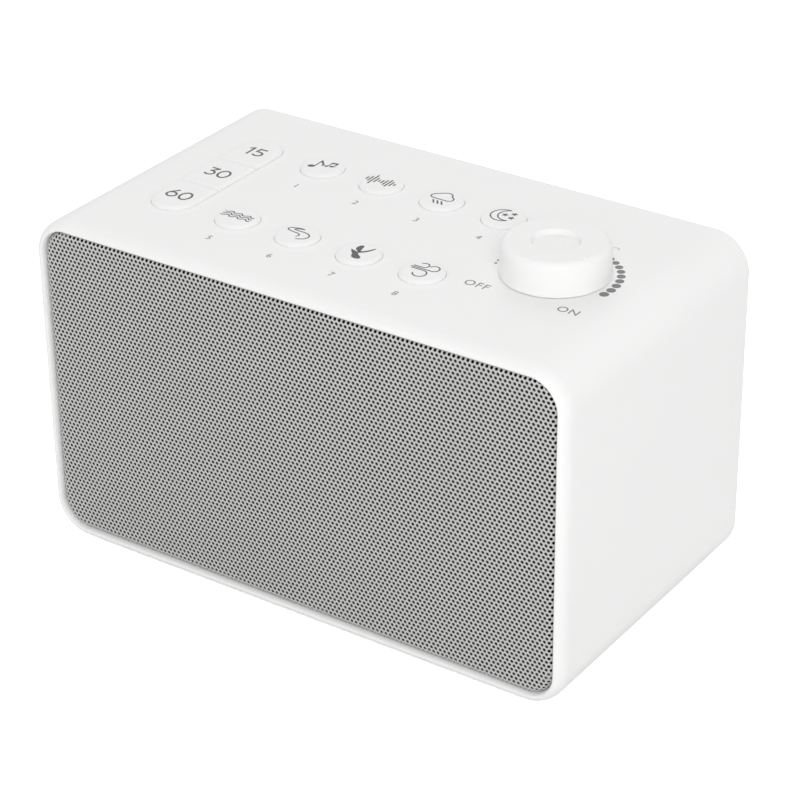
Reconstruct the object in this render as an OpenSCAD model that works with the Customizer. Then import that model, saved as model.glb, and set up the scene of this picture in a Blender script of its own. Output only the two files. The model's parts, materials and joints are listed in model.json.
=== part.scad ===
// White noise sound machine: a moulded sleeve with a perforated metal grille in front, eight
// sound buttons, three timer keys and a volume knob on the top panel, and a closed rear cover.
// The front faces -Y and +Z is up. The origin is the middle of the footprint, under the feet.
// All lengths are millimetres.

/* [Housing] */
// Width of the sleeve, left to right
body_w = 160; // [152:1:190]
// Depth of the sleeve, front to back
body_d = 89.6; // [88:0.1:130]
// Height of the sleeve without its feet
body_h = 93.3; // [92:0.1:120]
// Radius of the four long edges that run front to back
corner_r = 10.4; // [9:0.1:14]
// Wall thickness of the sleeve
wall = 2.4; // [2:0.1:2.8]
// How far back the rounded crown of the front edge reaches
crown_depth = 4; // [3:0.1:7]
// How far inside the sides the foremost line of the crown lies
crown_inset = 2.1; // [1.5:0.1:2.8]
// Radius of the rounded rear edge
rear_round = 1.6; // [0.6:0.1:1.8]

/* [Front] */
// Width of the rim around the grille
rim = 2.5; // [2.5:0.1:5]
// How far the grille's face lies behind the foremost line of the crown
grille_recess = 0.7; // [0.3:0.1:4]
// Depth of the pressed grille, from its face to the baffle
grille_depth = 3.5; // [2.5:0.1:6]
// Sheet thickness of the grille
grille_t = 0.8; // [0.5:0.1:1]
// Radius of the grille's pressed edge
grille_round = 1.9; // [1.1:0.1:2]
// Gap between the grille and the rim
grille_gap = 0.25; // [0.2:0.05:0.6]
// Thickness of the cloth behind the grille
cloth_t = 0.3; // [0.2:0.05:0.5]
// Thickness of the baffle that carries the driver
baffle_t = 3; // [2.5:0.1:4]
// Gap between the baffle and the sleeve
baffle_gap = 0.25; // [0.1:0.05:0.4]
// Width of the ledge that the baffle is screwed against
ledge_w = 6.5; // [6:0.1:7]
// Thickness of that ledge
ledge_t = 2.5; // [2:0.1:4]

/* [Speaker driver] */
// Outer radius of the driver's flange
driver_r = 33; // [32.5:0.1:34]
// Depth of the driver's basket, from its front face to its rear face
basket_depth = 18; // [16:0.1:22]
// Sheet thickness of the basket
basket_t = 1.2; // [0.8:0.1:1.5]
// Thickness of the foam gasket between driver and baffle
gasket_t = 1; // [0.5:0.1:1.5]
// Radius of the magnet ring
magnet_r = 22.5; // [21:0.1:26]
// Thickness of the magnet ring
magnet_t = 6; // [4:0.1:10]
// Thickness of the steel plate in front of the magnet and of the one behind it
plate_t = 3.2; // [2.5:0.1:4]
// Inner radius of the coil former
former_r = 5.75; // [5:0.05:7]
// Distance of the driver's axis below the middle of the sleeve
driver_drop = 3; // [1:0.1:3.5]

/* [Sound buttons] */
// Radius of a sound button
button_r = 5.9; // [5:0.05:6.5]
// Gap around a sound button, and around the timer keys
key_gap = 0.2; // [0.15:0.05:0.3]
// How far the buttons and the timer keys stand above the panel
key_proud = 1; // [0.8:0.1:2]
// Travel of every button and timer key
key_travel = 0.5; // [0.3:0.05:0.7]
// Distance between neighbouring sound buttons in a row
button_pitch = 18.85; // [17:0.05:19]
// Distance between the rear row and the front row
row_pitch = 37; // [34:0.1:38]
// Place of the leftmost sound buttons, right of the middle
first_button_x = -33.8; // [-34:0.1:-32]
// Place of the controls' centre line, behind the middle
control_y = 0; // [-1:0.1:3]

/* [Timer keys] */
// Width of the strip of three timer keys
timer_w = 12.6; // [12:0.1:13]
// Length of the strip of three timer keys
timer_len = 48.6; // [46:0.1:50]
// Place of the strip, right of the middle
timer_x = -55.2; // [-56:0.1:-55]
// Place of the strip's middle, behind the middle
timer_y = 0.5; // [-1:0.1:3]
// Gap between neighbouring timer keys
timer_split = 0.3; // [0.2:0.05:0.5]

/* [Volume knob] */
// Radius of the knob at its foot
knob_r = 13.9; // [13:0.1:15]
// How much narrower the knob is at its top
knob_taper = 0.7; // [0:0.1:1.2]
// Height of the knob's top above the panel
knob_h = 9.5; // [9:0.1:14]
// Radius of the knob's top edge
knob_round = 1.2; // [0.6:0.1:1.6]
// Radius of the finger dish in the knob's top
dish_r = 6.2; // [5:0.1:7]
// Depth of the finger dish
dish_depth = 1.2; // [0.5:0.1:1.4]
// Gap between the knob and the panel
knob_lift = 0.5; // [0.3:0.1:1]
// Place of the knob's axis, right of the middle
knob_x = 49.5; // [48:0.1:50]
// Direction of the knob's pointer at rest, in degrees from the right-hand side
pointer_angle = -24; // [-50:1:230]
// Radius of the potentiometer's shaft
shaft_r = 3; // [2.5:0.1:3.2]

/* [Electronics] */
// Drop from the underside of the panel to the control board
board_drop = 8.9; // [8.6:0.1:12]
// Thickness of both circuit boards
board_t = 1.6; // [1:0.1:2]
// Width of a key switch
switch_w = 6; // [5.5:0.1:7]
// Height of a key switch's case
switch_h = 3.5; // [3:0.1:4]
// Height of a key switch with its plunger
plunger_top = 5; // [4.9:0.1:5.5]
// Radius of a key switch's plunger
plunger_r = 1.75; // [1.5:0.05:2]

/* [Rear] */
// Thickness of the rear cover
cover_t = 3; // [2.4:0.1:4]
// How far the rear cover's face lies inside the sleeve's rear edge
cover_recess = 0.5; // [0.3:0.1:2]
// Gap between the rear cover and the sleeve
cover_gap = 0.25; // [0.1:0.05:0.4]
// Radius of the bore that takes a 3.5 mm headphone plug
phone_bore_r = 1.8; // [1.78:0.01:1.9]
// Depth of that bore
phone_bore_depth = 14; // [12:0.1:15]
// Radius of the power inlet's bore
power_bore_r = 3.1; // [3:0.05:3.2]
// Radius of the power inlet's centre pin
power_pin_r = 1; // [0.8:0.05:1.25]

/* [Feet] */
// Radius of a foot
foot_r = 5; // [4:0.1:7]
// How far a foot stands out of the sleeve
foot_proud = 1; // [0.8:0.1:3]
// How deep a foot is set into the sleeve
foot_sink = 0.8; // [0.5:0.1:1.2]

/* [Hidden] */
$fn = 48;
SOUND_KEYS = [1 : 8];
TIMER_KEYS = [15, 30, 60];

// Room for clean cuts, how deep a boss runs into its wall, and the fineness of rounded edges
overcut = 1;
weld = 0.6;
arc_steps = 12;
edge_steps = 5;

// Running clearance of a shaft or plunger in its bore, and the gap at a screw in its pilot hole
run_gap = 0.06;
pilot_gap = 0.05;

// Levels of the sleeve
floor_z = foot_proud;
top_z = floor_z + body_h;
mid_z = floor_z + body_h / 2;
ceiling_z = top_z - wall;
bottom_z = floor_z + wall;
front_y = -body_d / 2;
back_y = body_d / 2;

// Grille well, ledge and inside of the sleeve
well_w = body_w - 2 * rim;
well_h = body_h - 2 * rim;
well_r = corner_r - rim;
ledge_r = 4;
inner_w = body_w - 2 * wall;
inner_h = body_h - 2 * wall;
inner_r = corner_r - wall;
grille_y = front_y + grille_recess;
baffle_y = grille_y + grille_depth;
ledge_y = baffle_y + baffle_t;
ledge_back_y = ledge_y + ledge_t;

// How far inside the grille's rolled edge the cloth ends
cloth_edge = 0.2;

// Screws: shank and head radii, and the boss that takes a screw
small_shank_r = 1;
small_head_r = 1.9;
small_head_t = 1.3;
small_boss_r = 2.4;
cover_shank_r = 1.2;
cover_head_r = 2.5;
cover_head_t = 1.4;
cover_boss_r = 3.6;
cover_boss_l = 12;
cover_screw_l = 9;
screw_slot = 0.7;

// Four baffle screws sit in the corners of the grille well
baffle_screw_in = 4.5;
baffle_boss_l = 6;
baffle_screw_l = 7;
baffle_screw_places = [
    for (side = [-1, 1], level = [-1, 1])
        [side * (well_w / 2 - baffle_screw_in), mid_z + level * (well_h / 2 - baffle_screw_in)]
];

// Six cover screws: three along the top and three along the bottom
cover_screw_in = 6;
cover_out_y = back_y - cover_recess;
cover_in_y = cover_out_y - cover_t;
cover_screw_places = [
    for (side = [-1, 0, 1], level = [-1, 1])
        [side * (inner_w / 2 - cover_screw_in), mid_z + level * (inner_h / 2 - cover_screw_in)]
];

// Speaker driver, from its front face towards the rear
driver_z = mid_z - driver_drop;
flange_y = ledge_y + gasket_t;
flange_back_y = flange_y + basket_t;
basket_back_y = flange_y + basket_depth;
basket_floor_y = basket_back_y - basket_t;
top_plate_back_y = basket_back_y + plate_t;
magnet_back_y = top_plate_back_y + magnet_t;
yoke_back_y = magnet_back_y + plate_t;
baffle_hole_r = driver_r - 3.4;
basket_front_r = driver_r - 4.5;
basket_rear_r = 20.5;
shelf_r = 17;
shelf_y = basket_floor_y - 2.5;
top_plate_r = basket_rear_r - 0.5;
pole_r = former_r - 0.3;
former_out_r = former_r + 0.25;
coil_r = former_out_r + 0.35;
gap_r = coil_r + 0.25;
magnet_bore_r = gap_r + 4.5;
surround_in_r = driver_r - 12;
surround_out_r = driver_r - 3.7;
surround_t = 0.3;
roll_r = 2.5;
roll_mid_r = driver_r - 8.3;
cone_t = 0.5;
neck_y = shelf_y - 3.2;
cap_r = 8.4;
cap_h = 3;
cap_t = 0.4;
driver_screw_r = driver_r - 1.6;
driver_screw_bite = 2.2;
driver_room = 1;
driver_shank_r = 0.8;
driver_head_r = 1.5;
driver_head_t = 1;

// Controls on the top panel
board_top_z = ceiling_z - board_drop;
board_under_z = board_top_z - board_t;
plunger_top_z = board_top_z + plunger_top;
plunger_room = 0.6;
switch_floor = 0.5;
key_top_z = top_z + key_proud;
key_edge = 0.8;
key_roof = 1.6;
key_flange_z = ceiling_z - 0.15;
key_flange_t = 1;
key_flange_out = 1.1;
stem_r = 1.8;
button_columns = 4;
function button_place(key) = [
    first_button_x + button_pitch * ((key - 1) % button_columns),
    control_y + (key <= button_columns ? row_pitch / 2 : -row_pitch / 2)
];
timer_pitch = timer_len / len(TIMER_KEYS);
function timer_row(key) = search(key, TIMER_KEYS)[0];
function timer_middle(key) = timer_y + timer_pitch * (1 - timer_row(key));
switch_places = concat(
    [for (key = SOUND_KEYS) button_place(key)],
    [for (key = TIMER_KEYS) [timer_x, timer_middle(key)]]
);

// Volume knob and potentiometer
knob_bottom_z = top_z + knob_lift;
knob_top_z = top_z + knob_h;
knob_top_r = knob_r - knob_taper;
nut_t = 2.4;
nut_r = 5.6;
bushing_r = shaft_r + 0.6;
bushing_gap = 0.2;
bushing_top_z = top_z + nut_t + 0.3;
hub_r = 5;
hub_bottom_z = bushing_top_z + 0.4;
knob_wall = 2;
knob_cavity_top_z = knob_top_z - dish_depth - knob_wall;
shaft_top_z = knob_top_z - dish_depth - 1.4;
pointer_in = 0.2;
pointer_r = 0.6;
pointer_rise = 0.3;
pot_r = 8.5;
pot_wall = 1.3;
pot_top_z = ceiling_z - 1.2;
wiper_t = 1.2;
wiper_r = pot_r - pot_wall - 0.4;
wiper_z = board_top_z + pot_wall + 0.3;

// Control board under the panel, and its screws
board_left_x = timer_x - timer_w / 2 - 9.5;
board_right_x = knob_x + knob_r + 5.5;
board_half_d = row_pitch / 2 + 8.5;
board_screw_in = 4.2;
board_screw_l = 6;
board_screw_places = concat(
    [for (x = [board_left_x + board_screw_in, board_right_x - board_screw_in], side = [-1, 1])
        [x, control_y + side * (board_half_d - board_screw_in)]],
    [[first_button_x + 1.5 * button_pitch, control_y]]
);

// Parts under the control board
sound_chip_size = [10.3, 7.5, 2.3];
amplifier_chip_size = [5, 4, 1.6];
capacitor_r = 3.15;
capacitor_h = 7;

// Jack board on the floor behind the cover, with the two inlets on the right-hand side
jack_boss_h = 6.6;
jack_board_z = bottom_z + jack_boss_h;
jack_top_z = jack_board_z + board_t;
jack_block_h = 11;
jack_axis_z = jack_top_z + jack_block_h / 2;
jack_block_gap = 0.3;
jack_side_in = 19;
power_x = inner_w / 2 - jack_side_in;
power_block_w = 9;
power_block_d = 13;
power_nose_r = 4.2;
power_bore_depth = 9.5;
power_pin_l = 8;
jack_spacing = 14;
phone_x = power_x - jack_spacing;
phone_block_w = 7;
phone_block_d = 14;
phone_nose_r = 3.1;
nose_gap = 0.25;
jack_left_room = 7.1;
jack_right_room = 3.5;
jack_front_room = 8.7;
jack_left_x = phone_x - phone_block_w / 2 - jack_left_room;
jack_right_x = power_x + power_block_w / 2 + jack_right_room;
jack_front_y = cover_in_y - jack_block_gap - phone_block_d - jack_front_room;
jack_back_y = cover_in_y - 0.4;
jack_screw_in = 3.2;
jack_screw_y = jack_front_y + 4;
jack_screw_places = [
    [jack_left_x + jack_screw_in, jack_screw_y],
    [jack_right_x - jack_screw_in, jack_screw_y]
];

// Sockets for the two cables, and the cables themselves
socket_h = 3.5;
socket_w = 9;
socket_d = 5;
socket_room = 1;
cable_x = (power_x + phone_x) / 2;
cable_lower_y = jack_screw_y;
cable_upper_y = control_y + board_half_d - board_screw_in - small_head_r - socket_d / 2 - socket_room;
cable_bend_z = board_under_z - socket_h - 8;
cable_w = 7;
cable_t = 0.9;
tag_x = -driver_r + 2.4;
tag_w = 12;
tag_d = 3.5;
tag_t = 1.2;
wire_r = 0.6;
wire_spacing = 3;
wire_socket_y = control_y - board_half_d + 10;

// Feet stand near the four corners of the floor
foot_in_x = 18;
foot_in_y = 15;
foot_gap = 0.1;

shell_white = [0.93, 0.93, 0.92];
key_white = [0.96, 0.96, 0.95];
grille_grey = [0.66, 0.66, 0.65];
steel = [0.75, 0.76, 0.78];
dark = [0.12, 0.12, 0.13];
rubber_grey = [0.3, 0.3, 0.31];
board_green = [0.06, 0.32, 0.16];
brass = [0.78, 0.62, 0.32];

// Corner points of a rounded rectangle, worked out one corner after another
function rounded_rect(w, h, r) = [
    for (corner = [0 : 3], step = [0 : arc_steps])
        let (turn = 90 * corner + 90 * step / arc_steps,
             side = (corner == 0 || corner == 3) ? 1 : -1,
             level = corner < 2 ? 1 : -1)
        [side * (w / 2 - r) + r * cos(turn), level * (h / 2 - r) + r * sin(turn)]
];

// Points of a quarter ellipse about a centre, from one angle to another
function arc_points(x, y, rx, ry, from, to, steps = edge_steps) = [
    for (step = [0 : steps])
        let (turn = from + (to - from) * step / steps)
        [x + rx * cos(turn), y + ry * sin(turn)]
];

// Rounded rectangle that stands across the sleeve, from y0 to y1
module slab_y(w, h, r, y0, y1) {
    translate([0, y1, mid_z]) rotate([90, 0, 0])
        linear_extrude(y1 - y0) polygon(rounded_rect(w, h, r));
}

// The same rounded rectangle as a ring of points at one depth
function ring_y(w, h, r, y) = [for (point = rounded_rect(w, h, r)) [point[0], y, mid_z + point[1]]];

// Closed block through a stack of rings with equally many points. They run counterclockwise
// when seen from the last ring's side.
module lofted(rings) {
    count = len(rings[0]);
    last = len(rings) - 1;
    polyhedron(
        points = [for (ring = rings) each ring],
        faces = concat(
            [[for (i = [0 : count - 1]) i], [for (i = [count - 1 : -1 : 0]) last * count + i]],
            [for (level = [0 : last - 1], i = [0 : count - 1])
                let (here = level * count, next = (i + 1) % count)
                [here + i, here + count + i, here + count + next, here + next]]
        )
    );
}

// Round bar along Y or along Z
module rod_y(r, x, z, y0, y1) {
    translate([x, y0, z]) rotate([-90, 0, 0]) cylinder(r = r, h = y1 - y0);
}

module rod_z(r, x, y, z0, z1) {
    translate([x, y, z0]) cylinder(r = r, h = z1 - z0);
}

// Block between two corners
module block(x0, x1, y0, y1, z0, z1) {
    translate([x0, y0, z0]) cube([x1 - x0, y1 - y0, z1 - z0]);
}

// Turned piece about the driver's axis: the profile holds radius and depth
module driver_turned(profile) {
    translate([0, 0, driver_z]) rotate([-90, 0, 0]) rotate_extrude() polygon(profile);
}

// Screw along Z with its head below, and cross slots in the head
module screw_up(x, y, head_z, length) {
    difference() {
        union() {
            rod_z(small_head_r, x, y, head_z - small_head_t, head_z);
            rod_z(small_shank_r, x, y, head_z - overcut / 2, head_z + length);
        }
        cross_slots_z(x, y, head_z - small_head_t, small_head_r);
    }
}

module cross_slots_z(x, y, z, head_r) {
    for (turn = [0, 90])
        translate([x, y, z]) rotate([0, 0, turn])
            cube([1.2 * head_r, screw_slot, screw_slot], center = true);
}

module cross_slots_y(x, y, z, head_r) {
    for (turn = [0, 90])
        translate([x, y, z]) rotate([0, turn, 0])
            cube([1.2 * head_r, screw_slot, screw_slot], center = true);
}

// Outline of the timer strip, grown by a gap; a strip is straight with half-round ends
function strip_outline(grow) =
    let (r = timer_w / 2 + grow, reach = timer_len / 2 - timer_w / 2)
    concat(
        arc_points(0, reach, r, r, 0, 180, 2 * arc_steps),
        arc_points(0, -reach, r, r, 180, 360, 2 * arc_steps)
    );

module strip(grow, z0, z1) {
    translate([timer_x, timer_y, z0]) linear_extrude(z1 - z0) polygon(strip_outline(grow));
}

// --- Sleeve ---------------------------------------------------------------------------------

// Outside of the sleeve: a straight tube with an elliptical crown in front and a round edge behind
module sleeve_block() {
    lofted(concat(
        [for (step = [0 : edge_steps])
            let (turn = 90 * step / edge_steps, rear_in = rear_round * (1 - sin(turn)))
            ring_y(body_w - 2 * rear_in, body_h - 2 * rear_in, corner_r - rear_in,
                   back_y - rear_round * (1 - cos(turn)))],
        [for (step = [0 : edge_steps])
            let (turn = 90 * step / edge_steps, crown_in = crown_inset * (1 - cos(turn)))
            ring_y(body_w - 2 * crown_in, body_h - 2 * crown_in, corner_r - crown_in,
                   front_y + crown_depth * (1 - sin(turn)))]
    ));
}

module cover_bosses() {
    for (place = cover_screw_places) {
        level = place[1] > mid_z ? 1 : -1;
        wall_z = mid_z + level * (inner_h / 2 + weld);
        rod_y(cover_boss_r, place[0], place[1], cover_in_y - cover_boss_l, cover_in_y);
        block(place[0] - wall / 2, place[0] + wall / 2, cover_in_y - cover_boss_l, cover_in_y,
              min(place[1], wall_z), max(place[1], wall_z));
    }
}

module baffle_bosses() {
    for (place = baffle_screw_places)
        rod_y(small_boss_r, place[0], place[1], ledge_back_y - weld, ledge_back_y + baffle_boss_l);
}

module board_bosses() {
    for (place = board_screw_places)
        rod_z(small_boss_r, place[0], place[1], board_top_z, ceiling_z + weld);
    for (place = jack_screw_places)
        rod_z(small_boss_r, place[0], place[1], bottom_z - weld, jack_board_z);
}

module screw_pilots() {
    for (place = cover_screw_places)
        rod_y(cover_shank_r + pilot_gap, place[0], place[1],
              cover_in_y - cover_screw_l, cover_in_y + overcut);
    for (place = baffle_screw_places)
        rod_y(small_shank_r + pilot_gap, place[0], place[1],
              ledge_y - overcut, ledge_y + baffle_screw_l);
    for (place = board_screw_places)
        rod_z(small_shank_r + pilot_gap, place[0], place[1],
              board_top_z - overcut, board_top_z + board_screw_l);
    for (place = jack_screw_places)
        rod_z(small_shank_r + pilot_gap, place[0], place[1],
              jack_board_z - board_screw_l, jack_board_z + overcut);
}

module foot_places() {
    for (x = [-1, 1], y = [-1, 1])
        translate([x * (body_w / 2 - foot_in_x), y * (body_d / 2 - foot_in_y), 0]) children();
}

module housing() {
    color(shell_white)
    difference() {
        union() {
            difference() {
                sleeve_block();
                slab_y(well_w, well_h, well_r, front_y - overcut, ledge_y);
                slab_y(well_w - 2 * ledge_w, well_h - 2 * ledge_w, ledge_r,
                       ledge_y - overcut, ledge_back_y + overcut);
                rod_y(driver_r + driver_room, 0, driver_z, ledge_y, ledge_back_y + overcut);
                slab_y(inner_w, inner_h, inner_r, ledge_back_y, back_y + overcut);
            }
            cover_bosses();
            baffle_bosses();
            board_bosses();
        }
        screw_pilots();
        for (key = SOUND_KEYS)
            rod_z(button_r + key_gap, button_place(key)[0], button_place(key)[1],
                  ceiling_z - overcut, top_z + overcut);
        strip(key_gap, ceiling_z - overcut, top_z + overcut);
        rod_z(bushing_r + bushing_gap, knob_x, control_y, ceiling_z - overcut, top_z + overcut);
        foot_places() rod_z(foot_r + foot_gap, 0, 0, floor_z - overcut, floor_z + foot_sink);
    }
}

module rear_cover() {
    color(shell_white)
    difference() {
        slab_y(inner_w - 2 * cover_gap, inner_h - 2 * cover_gap, inner_r - cover_gap,
               cover_in_y, cover_out_y);
        for (place = cover_screw_places) {
            rod_y(cover_shank_r + key_gap, place[0], place[1],
                  cover_in_y - overcut, cover_out_y + overcut);
            rod_y(cover_head_r + cover_gap, place[0], place[1],
                  cover_out_y - cover_head_t, cover_out_y + overcut);
        }
        rod_y(power_nose_r + nose_gap, power_x, jack_axis_z,
              cover_in_y - overcut, cover_out_y + overcut);
        rod_y(phone_nose_r + nose_gap, phone_x, jack_axis_z,
              cover_in_y - overcut, cover_out_y + overcut);
    }
}

module cover_screws() {
    head_y = cover_out_y - cover_head_t;
    color(steel)
    for (place = cover_screw_places)
        difference() {
            union() {
                rod_y(cover_head_r, place[0], place[1], head_y, head_y + cover_head_t - pilot_gap);
                rod_y(cover_shank_r, place[0], place[1],
                      cover_in_y - cover_screw_l + overcut, head_y + overcut / 2);
            }
            cross_slots_y(place[0], head_y + cover_head_t, place[1], cover_head_r);
        }
}

module feet() {
    color(rubber_grey)
    foot_places() rod_z(foot_r, 0, 0, 0, floor_z + foot_sink);
}

// --- Front ----------------------------------------------------------------------------------

// Pressed sheet: a flat face whose edge is rolled back into a flange that stands on the baffle
module pressed_pan(inset, face_y, edge_r, back_y) {
    w = well_w - 2 * (grille_gap + inset);
    h = well_h - 2 * (grille_gap + inset);
    r = well_r - grille_gap - inset;
    lofted(concat(
        [ring_y(w, h, r, back_y)],
        [for (step = [0 : edge_steps])
            let (turn = 90 * step / edge_steps, edge_in = edge_r * (1 - cos(turn)))
            ring_y(w - 2 * edge_in, h - 2 * edge_in, r - edge_in, face_y + edge_r * (1 - sin(turn)))]
    ));
}

module front_grille() {
    color(grille_grey)
    difference() {
        pressed_pan(0, grille_y, grille_round, baffle_y);
        pressed_pan(grille_t, grille_y + grille_t, grille_round - grille_t, baffle_y + overcut);
    }
}

module grille_cloth() {
    cloth_in = grille_gap + grille_round + cloth_edge;
    cloth_y = grille_y + grille_t;
    color(dark)
    slab_y(well_w - 2 * cloth_in, well_h - 2 * cloth_in, well_r - cloth_in,
           cloth_y, cloth_y + cloth_t);
}

module baffle() {
    color(dark)
    difference() {
        slab_y(well_w - 2 * baffle_gap, well_h - 2 * baffle_gap, well_r - baffle_gap,
               baffle_y, ledge_y);
        rod_y(baffle_hole_r, 0, driver_z, baffle_y - overcut, ledge_y + overcut);
        for (place = baffle_screw_places) {
            rod_y(small_shank_r + key_gap, place[0], place[1], baffle_y - overcut, ledge_y + overcut);
            rod_y(small_head_r + key_gap, place[0], place[1],
                  baffle_y - overcut, baffle_y + small_head_t);
        }
        driver_screw_places()
            rod_y(driver_shank_r + pilot_gap, 0, 0,
                  ledge_y - driver_screw_bite - pilot_gap, ledge_y + overcut);
    }
}

module baffle_screws() {
    color(steel)
    for (place = baffle_screw_places)
        difference() {
            union() {
                rod_y(small_head_r, place[0], place[1], baffle_y + pilot_gap, baffle_y + small_head_t);
                rod_y(small_shank_r, place[0], place[1],
                      baffle_y + overcut, ledge_y + baffle_screw_l - overcut);
            }
            cross_slots_y(place[0], baffle_y + pilot_gap, place[1], small_head_r);
        }
}

// --- Speaker driver -------------------------------------------------------------------------

module driver_screw_places() {
    for (turn = [45 : 90 : 315])
        translate([driver_screw_r * cos(turn), 0, driver_z + driver_screw_r * sin(turn)]) children();
}

module driver_screw_holes(y0, y1) {
    driver_screw_places() rod_y(driver_shank_r + key_gap, 0, 0, y0 - overcut, y1 + overcut);
}

module driver_gasket() {
    color(dark)
    difference() {
        driver_turned([[baffle_hole_r, ledge_y], [driver_r, ledge_y],
                       [driver_r, flange_y], [baffle_hole_r, flange_y]]);
        driver_screw_holes(ledge_y, flange_y);
    }
}

// Radius inside the basket's tapering side at a given depth
function basket_radius(y) =
    basket_front_r + (basket_rear_r - basket_front_r) * (y - flange_back_y)
    / (basket_floor_y - flange_back_y);

module driver_basket() {
    window_y0 = flange_back_y + 2.2;
    window_y1 = shelf_y - 1.6;
    color(steel)
    difference() {
        driver_turned([
            [basket_front_r - 2, flange_y], [driver_r, flange_y], [driver_r, flange_back_y],
            [basket_front_r + basket_t, flange_back_y], [basket_rear_r + basket_t, basket_back_y],
            [gap_r + 2, basket_back_y], [gap_r + 2, basket_floor_y], [shelf_r, basket_floor_y],
            [shelf_r, shelf_y], [basket_radius(shelf_y), shelf_y],
            [basket_front_r, flange_back_y], [basket_front_r - 2, flange_back_y]
        ]);
        driver_screw_holes(flange_y, flange_back_y);
        for (turn = [0 : 90 : 270])
            translate([0, 0, driver_z]) rotate([0, turn, 0])
                block(shelf_r + 2, driver_r, window_y0, window_y1, -basket_rear_r / 2, basket_rear_r / 2);
    }
}

module driver_screws() {
    color(steel)
    driver_screw_places()
        difference() {
            union() {
                rod_y(driver_head_r, 0, 0, flange_back_y, flange_back_y + driver_head_t);
                rod_y(driver_shank_r, 0, 0, ledge_y - driver_screw_bite,
                      flange_back_y + driver_head_t / 2);
            }
            cross_slots_y(0, flange_back_y + driver_head_t, 0, driver_head_r);
        }
}

module driver_terminals() {
    color(brass)
    block(tag_x - tag_t / 2, tag_x + tag_t / 2, flange_back_y, flange_back_y + tag_d,
          driver_z - tag_w / 2, driver_z + tag_w / 2);
}

// Half-round roll between two flat lips
module cone_surround() {
    lip_y = flange_y - surround_t;
    color(dark)
    driver_turned(concat(
        [[surround_out_r, flange_y], [surround_out_r, lip_y]],
        arc_points(roll_mid_r, lip_y, roll_r, -roll_r, 0, 180, arc_steps),
        [[surround_in_r, lip_y], [surround_in_r, flange_y]],
        [[roll_mid_r - roll_r + surround_t, flange_y]],
        arc_points(roll_mid_r, lip_y, roll_r - surround_t, surround_t - roll_r, 180, 0, arc_steps),
        [[roll_mid_r + roll_r - surround_t, flange_y]]
    ));
}

// Depth of the cone's front face at a given radius
function cone_y(r) = neck_y + (flange_y - neck_y) * (r - former_out_r - run_gap)
    / (surround_in_r - former_out_r - run_gap);

module speaker_cone() {
    neck_r = former_out_r + run_gap;
    rim_r = roll_mid_r - roll_r;
    color(dark)
    driver_turned([
        [neck_r, neck_y], [surround_in_r, flange_y], [rim_r, flange_y], [rim_r, flange_y + cone_t],
        [surround_in_r + cone_t / 2, flange_y + cone_t], [neck_r, neck_y + 1.3 * cone_t]
    ]);
}

module dust_cap() {
    seat_y = cone_y(cap_r) - run_gap;
    color(dark)
    driver_turned(concat(
        arc_points(0, seat_y, cap_r, -cap_h, 0, 90, arc_steps),
        arc_points(0, seat_y, cap_r - cap_t, cap_t - cap_h, 90, 0, arc_steps)
    ));
}

// Corrugated disc that keeps the coil centred
module spider() {
    inner = former_out_r + run_gap;
    waves = 4;
    steps = 6 * waves;
    spider_t = 0.4;
    function wave(step) = shelf_y - spider_t - 0.6 * (1 - cos(360 * waves * step / steps)) / 2;
    function reach(step) = inner + (shelf_r - inner) * step / steps;
    color([0.72, 0.55, 0.3])
    driver_turned(concat(
        [for (step = [0 : steps]) [reach(step), wave(step)]],
        [[basket_radius(shelf_y) - 0.3, shelf_y - spider_t], [basket_radius(shelf_y) - 0.3, shelf_y]],
        [for (step = [steps : -1 : 0]) [reach(step), wave(step) + spider_t]]
    ));
}

module voice_coil() {
    winding_y0 = basket_back_y - 0.3;
    winding_y1 = top_plate_back_y + 0.3;
    color([0.72, 0.4, 0.25])
    driver_turned([
        [former_r, neck_y - 0.5], [former_out_r, neck_y - 0.5], [former_out_r, winding_y0],
        [coil_r, winding_y0], [coil_r, winding_y1], [former_r, winding_y1]
    ]);
}

module top_plate() {
    color(steel)
    driver_turned([[gap_r, basket_back_y], [top_plate_r, basket_back_y],
                   [top_plate_r, top_plate_back_y], [gap_r, top_plate_back_y]]);
}

module magnet_ring() {
    color([0.2, 0.2, 0.21])
    driver_turned([[magnet_bore_r, top_plate_back_y], [magnet_r, top_plate_back_y],
                   [magnet_r, magnet_back_y], [magnet_bore_r, magnet_back_y]]);
}

module pole_yoke() {
    color(steel)
    driver_turned([[0, basket_back_y], [pole_r, basket_back_y], [pole_r, magnet_back_y],
                   [top_plate_r, magnet_back_y], [top_plate_r, yoke_back_y], [0, yoke_back_y]]);
}

// Two wires from the driver's tags straight back, then up to a socket under the control board
module speaker_wires() {
    color([0.6, 0.1, 0.1])
    for (side = [-1, 1]) {
        z = driver_z - side * wire_spacing / 2;
        y = wire_socket_y + side * wire_spacing / 2;
        block(tag_x - wire_r, tag_x + wire_r, flange_back_y + tag_d, y + wire_r, z - wire_r, z + wire_r);
        block(tag_x - wire_r, tag_x + wire_r, y - wire_r, y + wire_r,
              z - wire_r, board_under_z - socket_h);
    }
}

// --- Keys -----------------------------------------------------------------------------------

// Round cap with a soft edge, a flange that stops it under the panel, and a stem on its plunger
module sound_button(key) {
    place = button_place(key);
    flange_r = button_r + key_flange_out;
    color(key_white)
    translate([place[0], place[1], 0]) rotate_extrude() polygon(concat(
        [[0, key_top_z]],
        arc_points(button_r - key_edge, key_top_z - key_edge, key_edge, key_edge, 90, 0),
        [[button_r, key_flange_z], [flange_r, key_flange_z], [flange_r, key_flange_z - key_flange_t],
         [stem_r, key_flange_z - key_flange_t], [stem_r, plunger_top_z], [0, plunger_top_z]]
    ));
}

module plunger(place) {
    color(dark)
    rod_z(plunger_r, place[0], place[1], board_top_z + key_travel + plunger_room, plunger_top_z);
}

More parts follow.
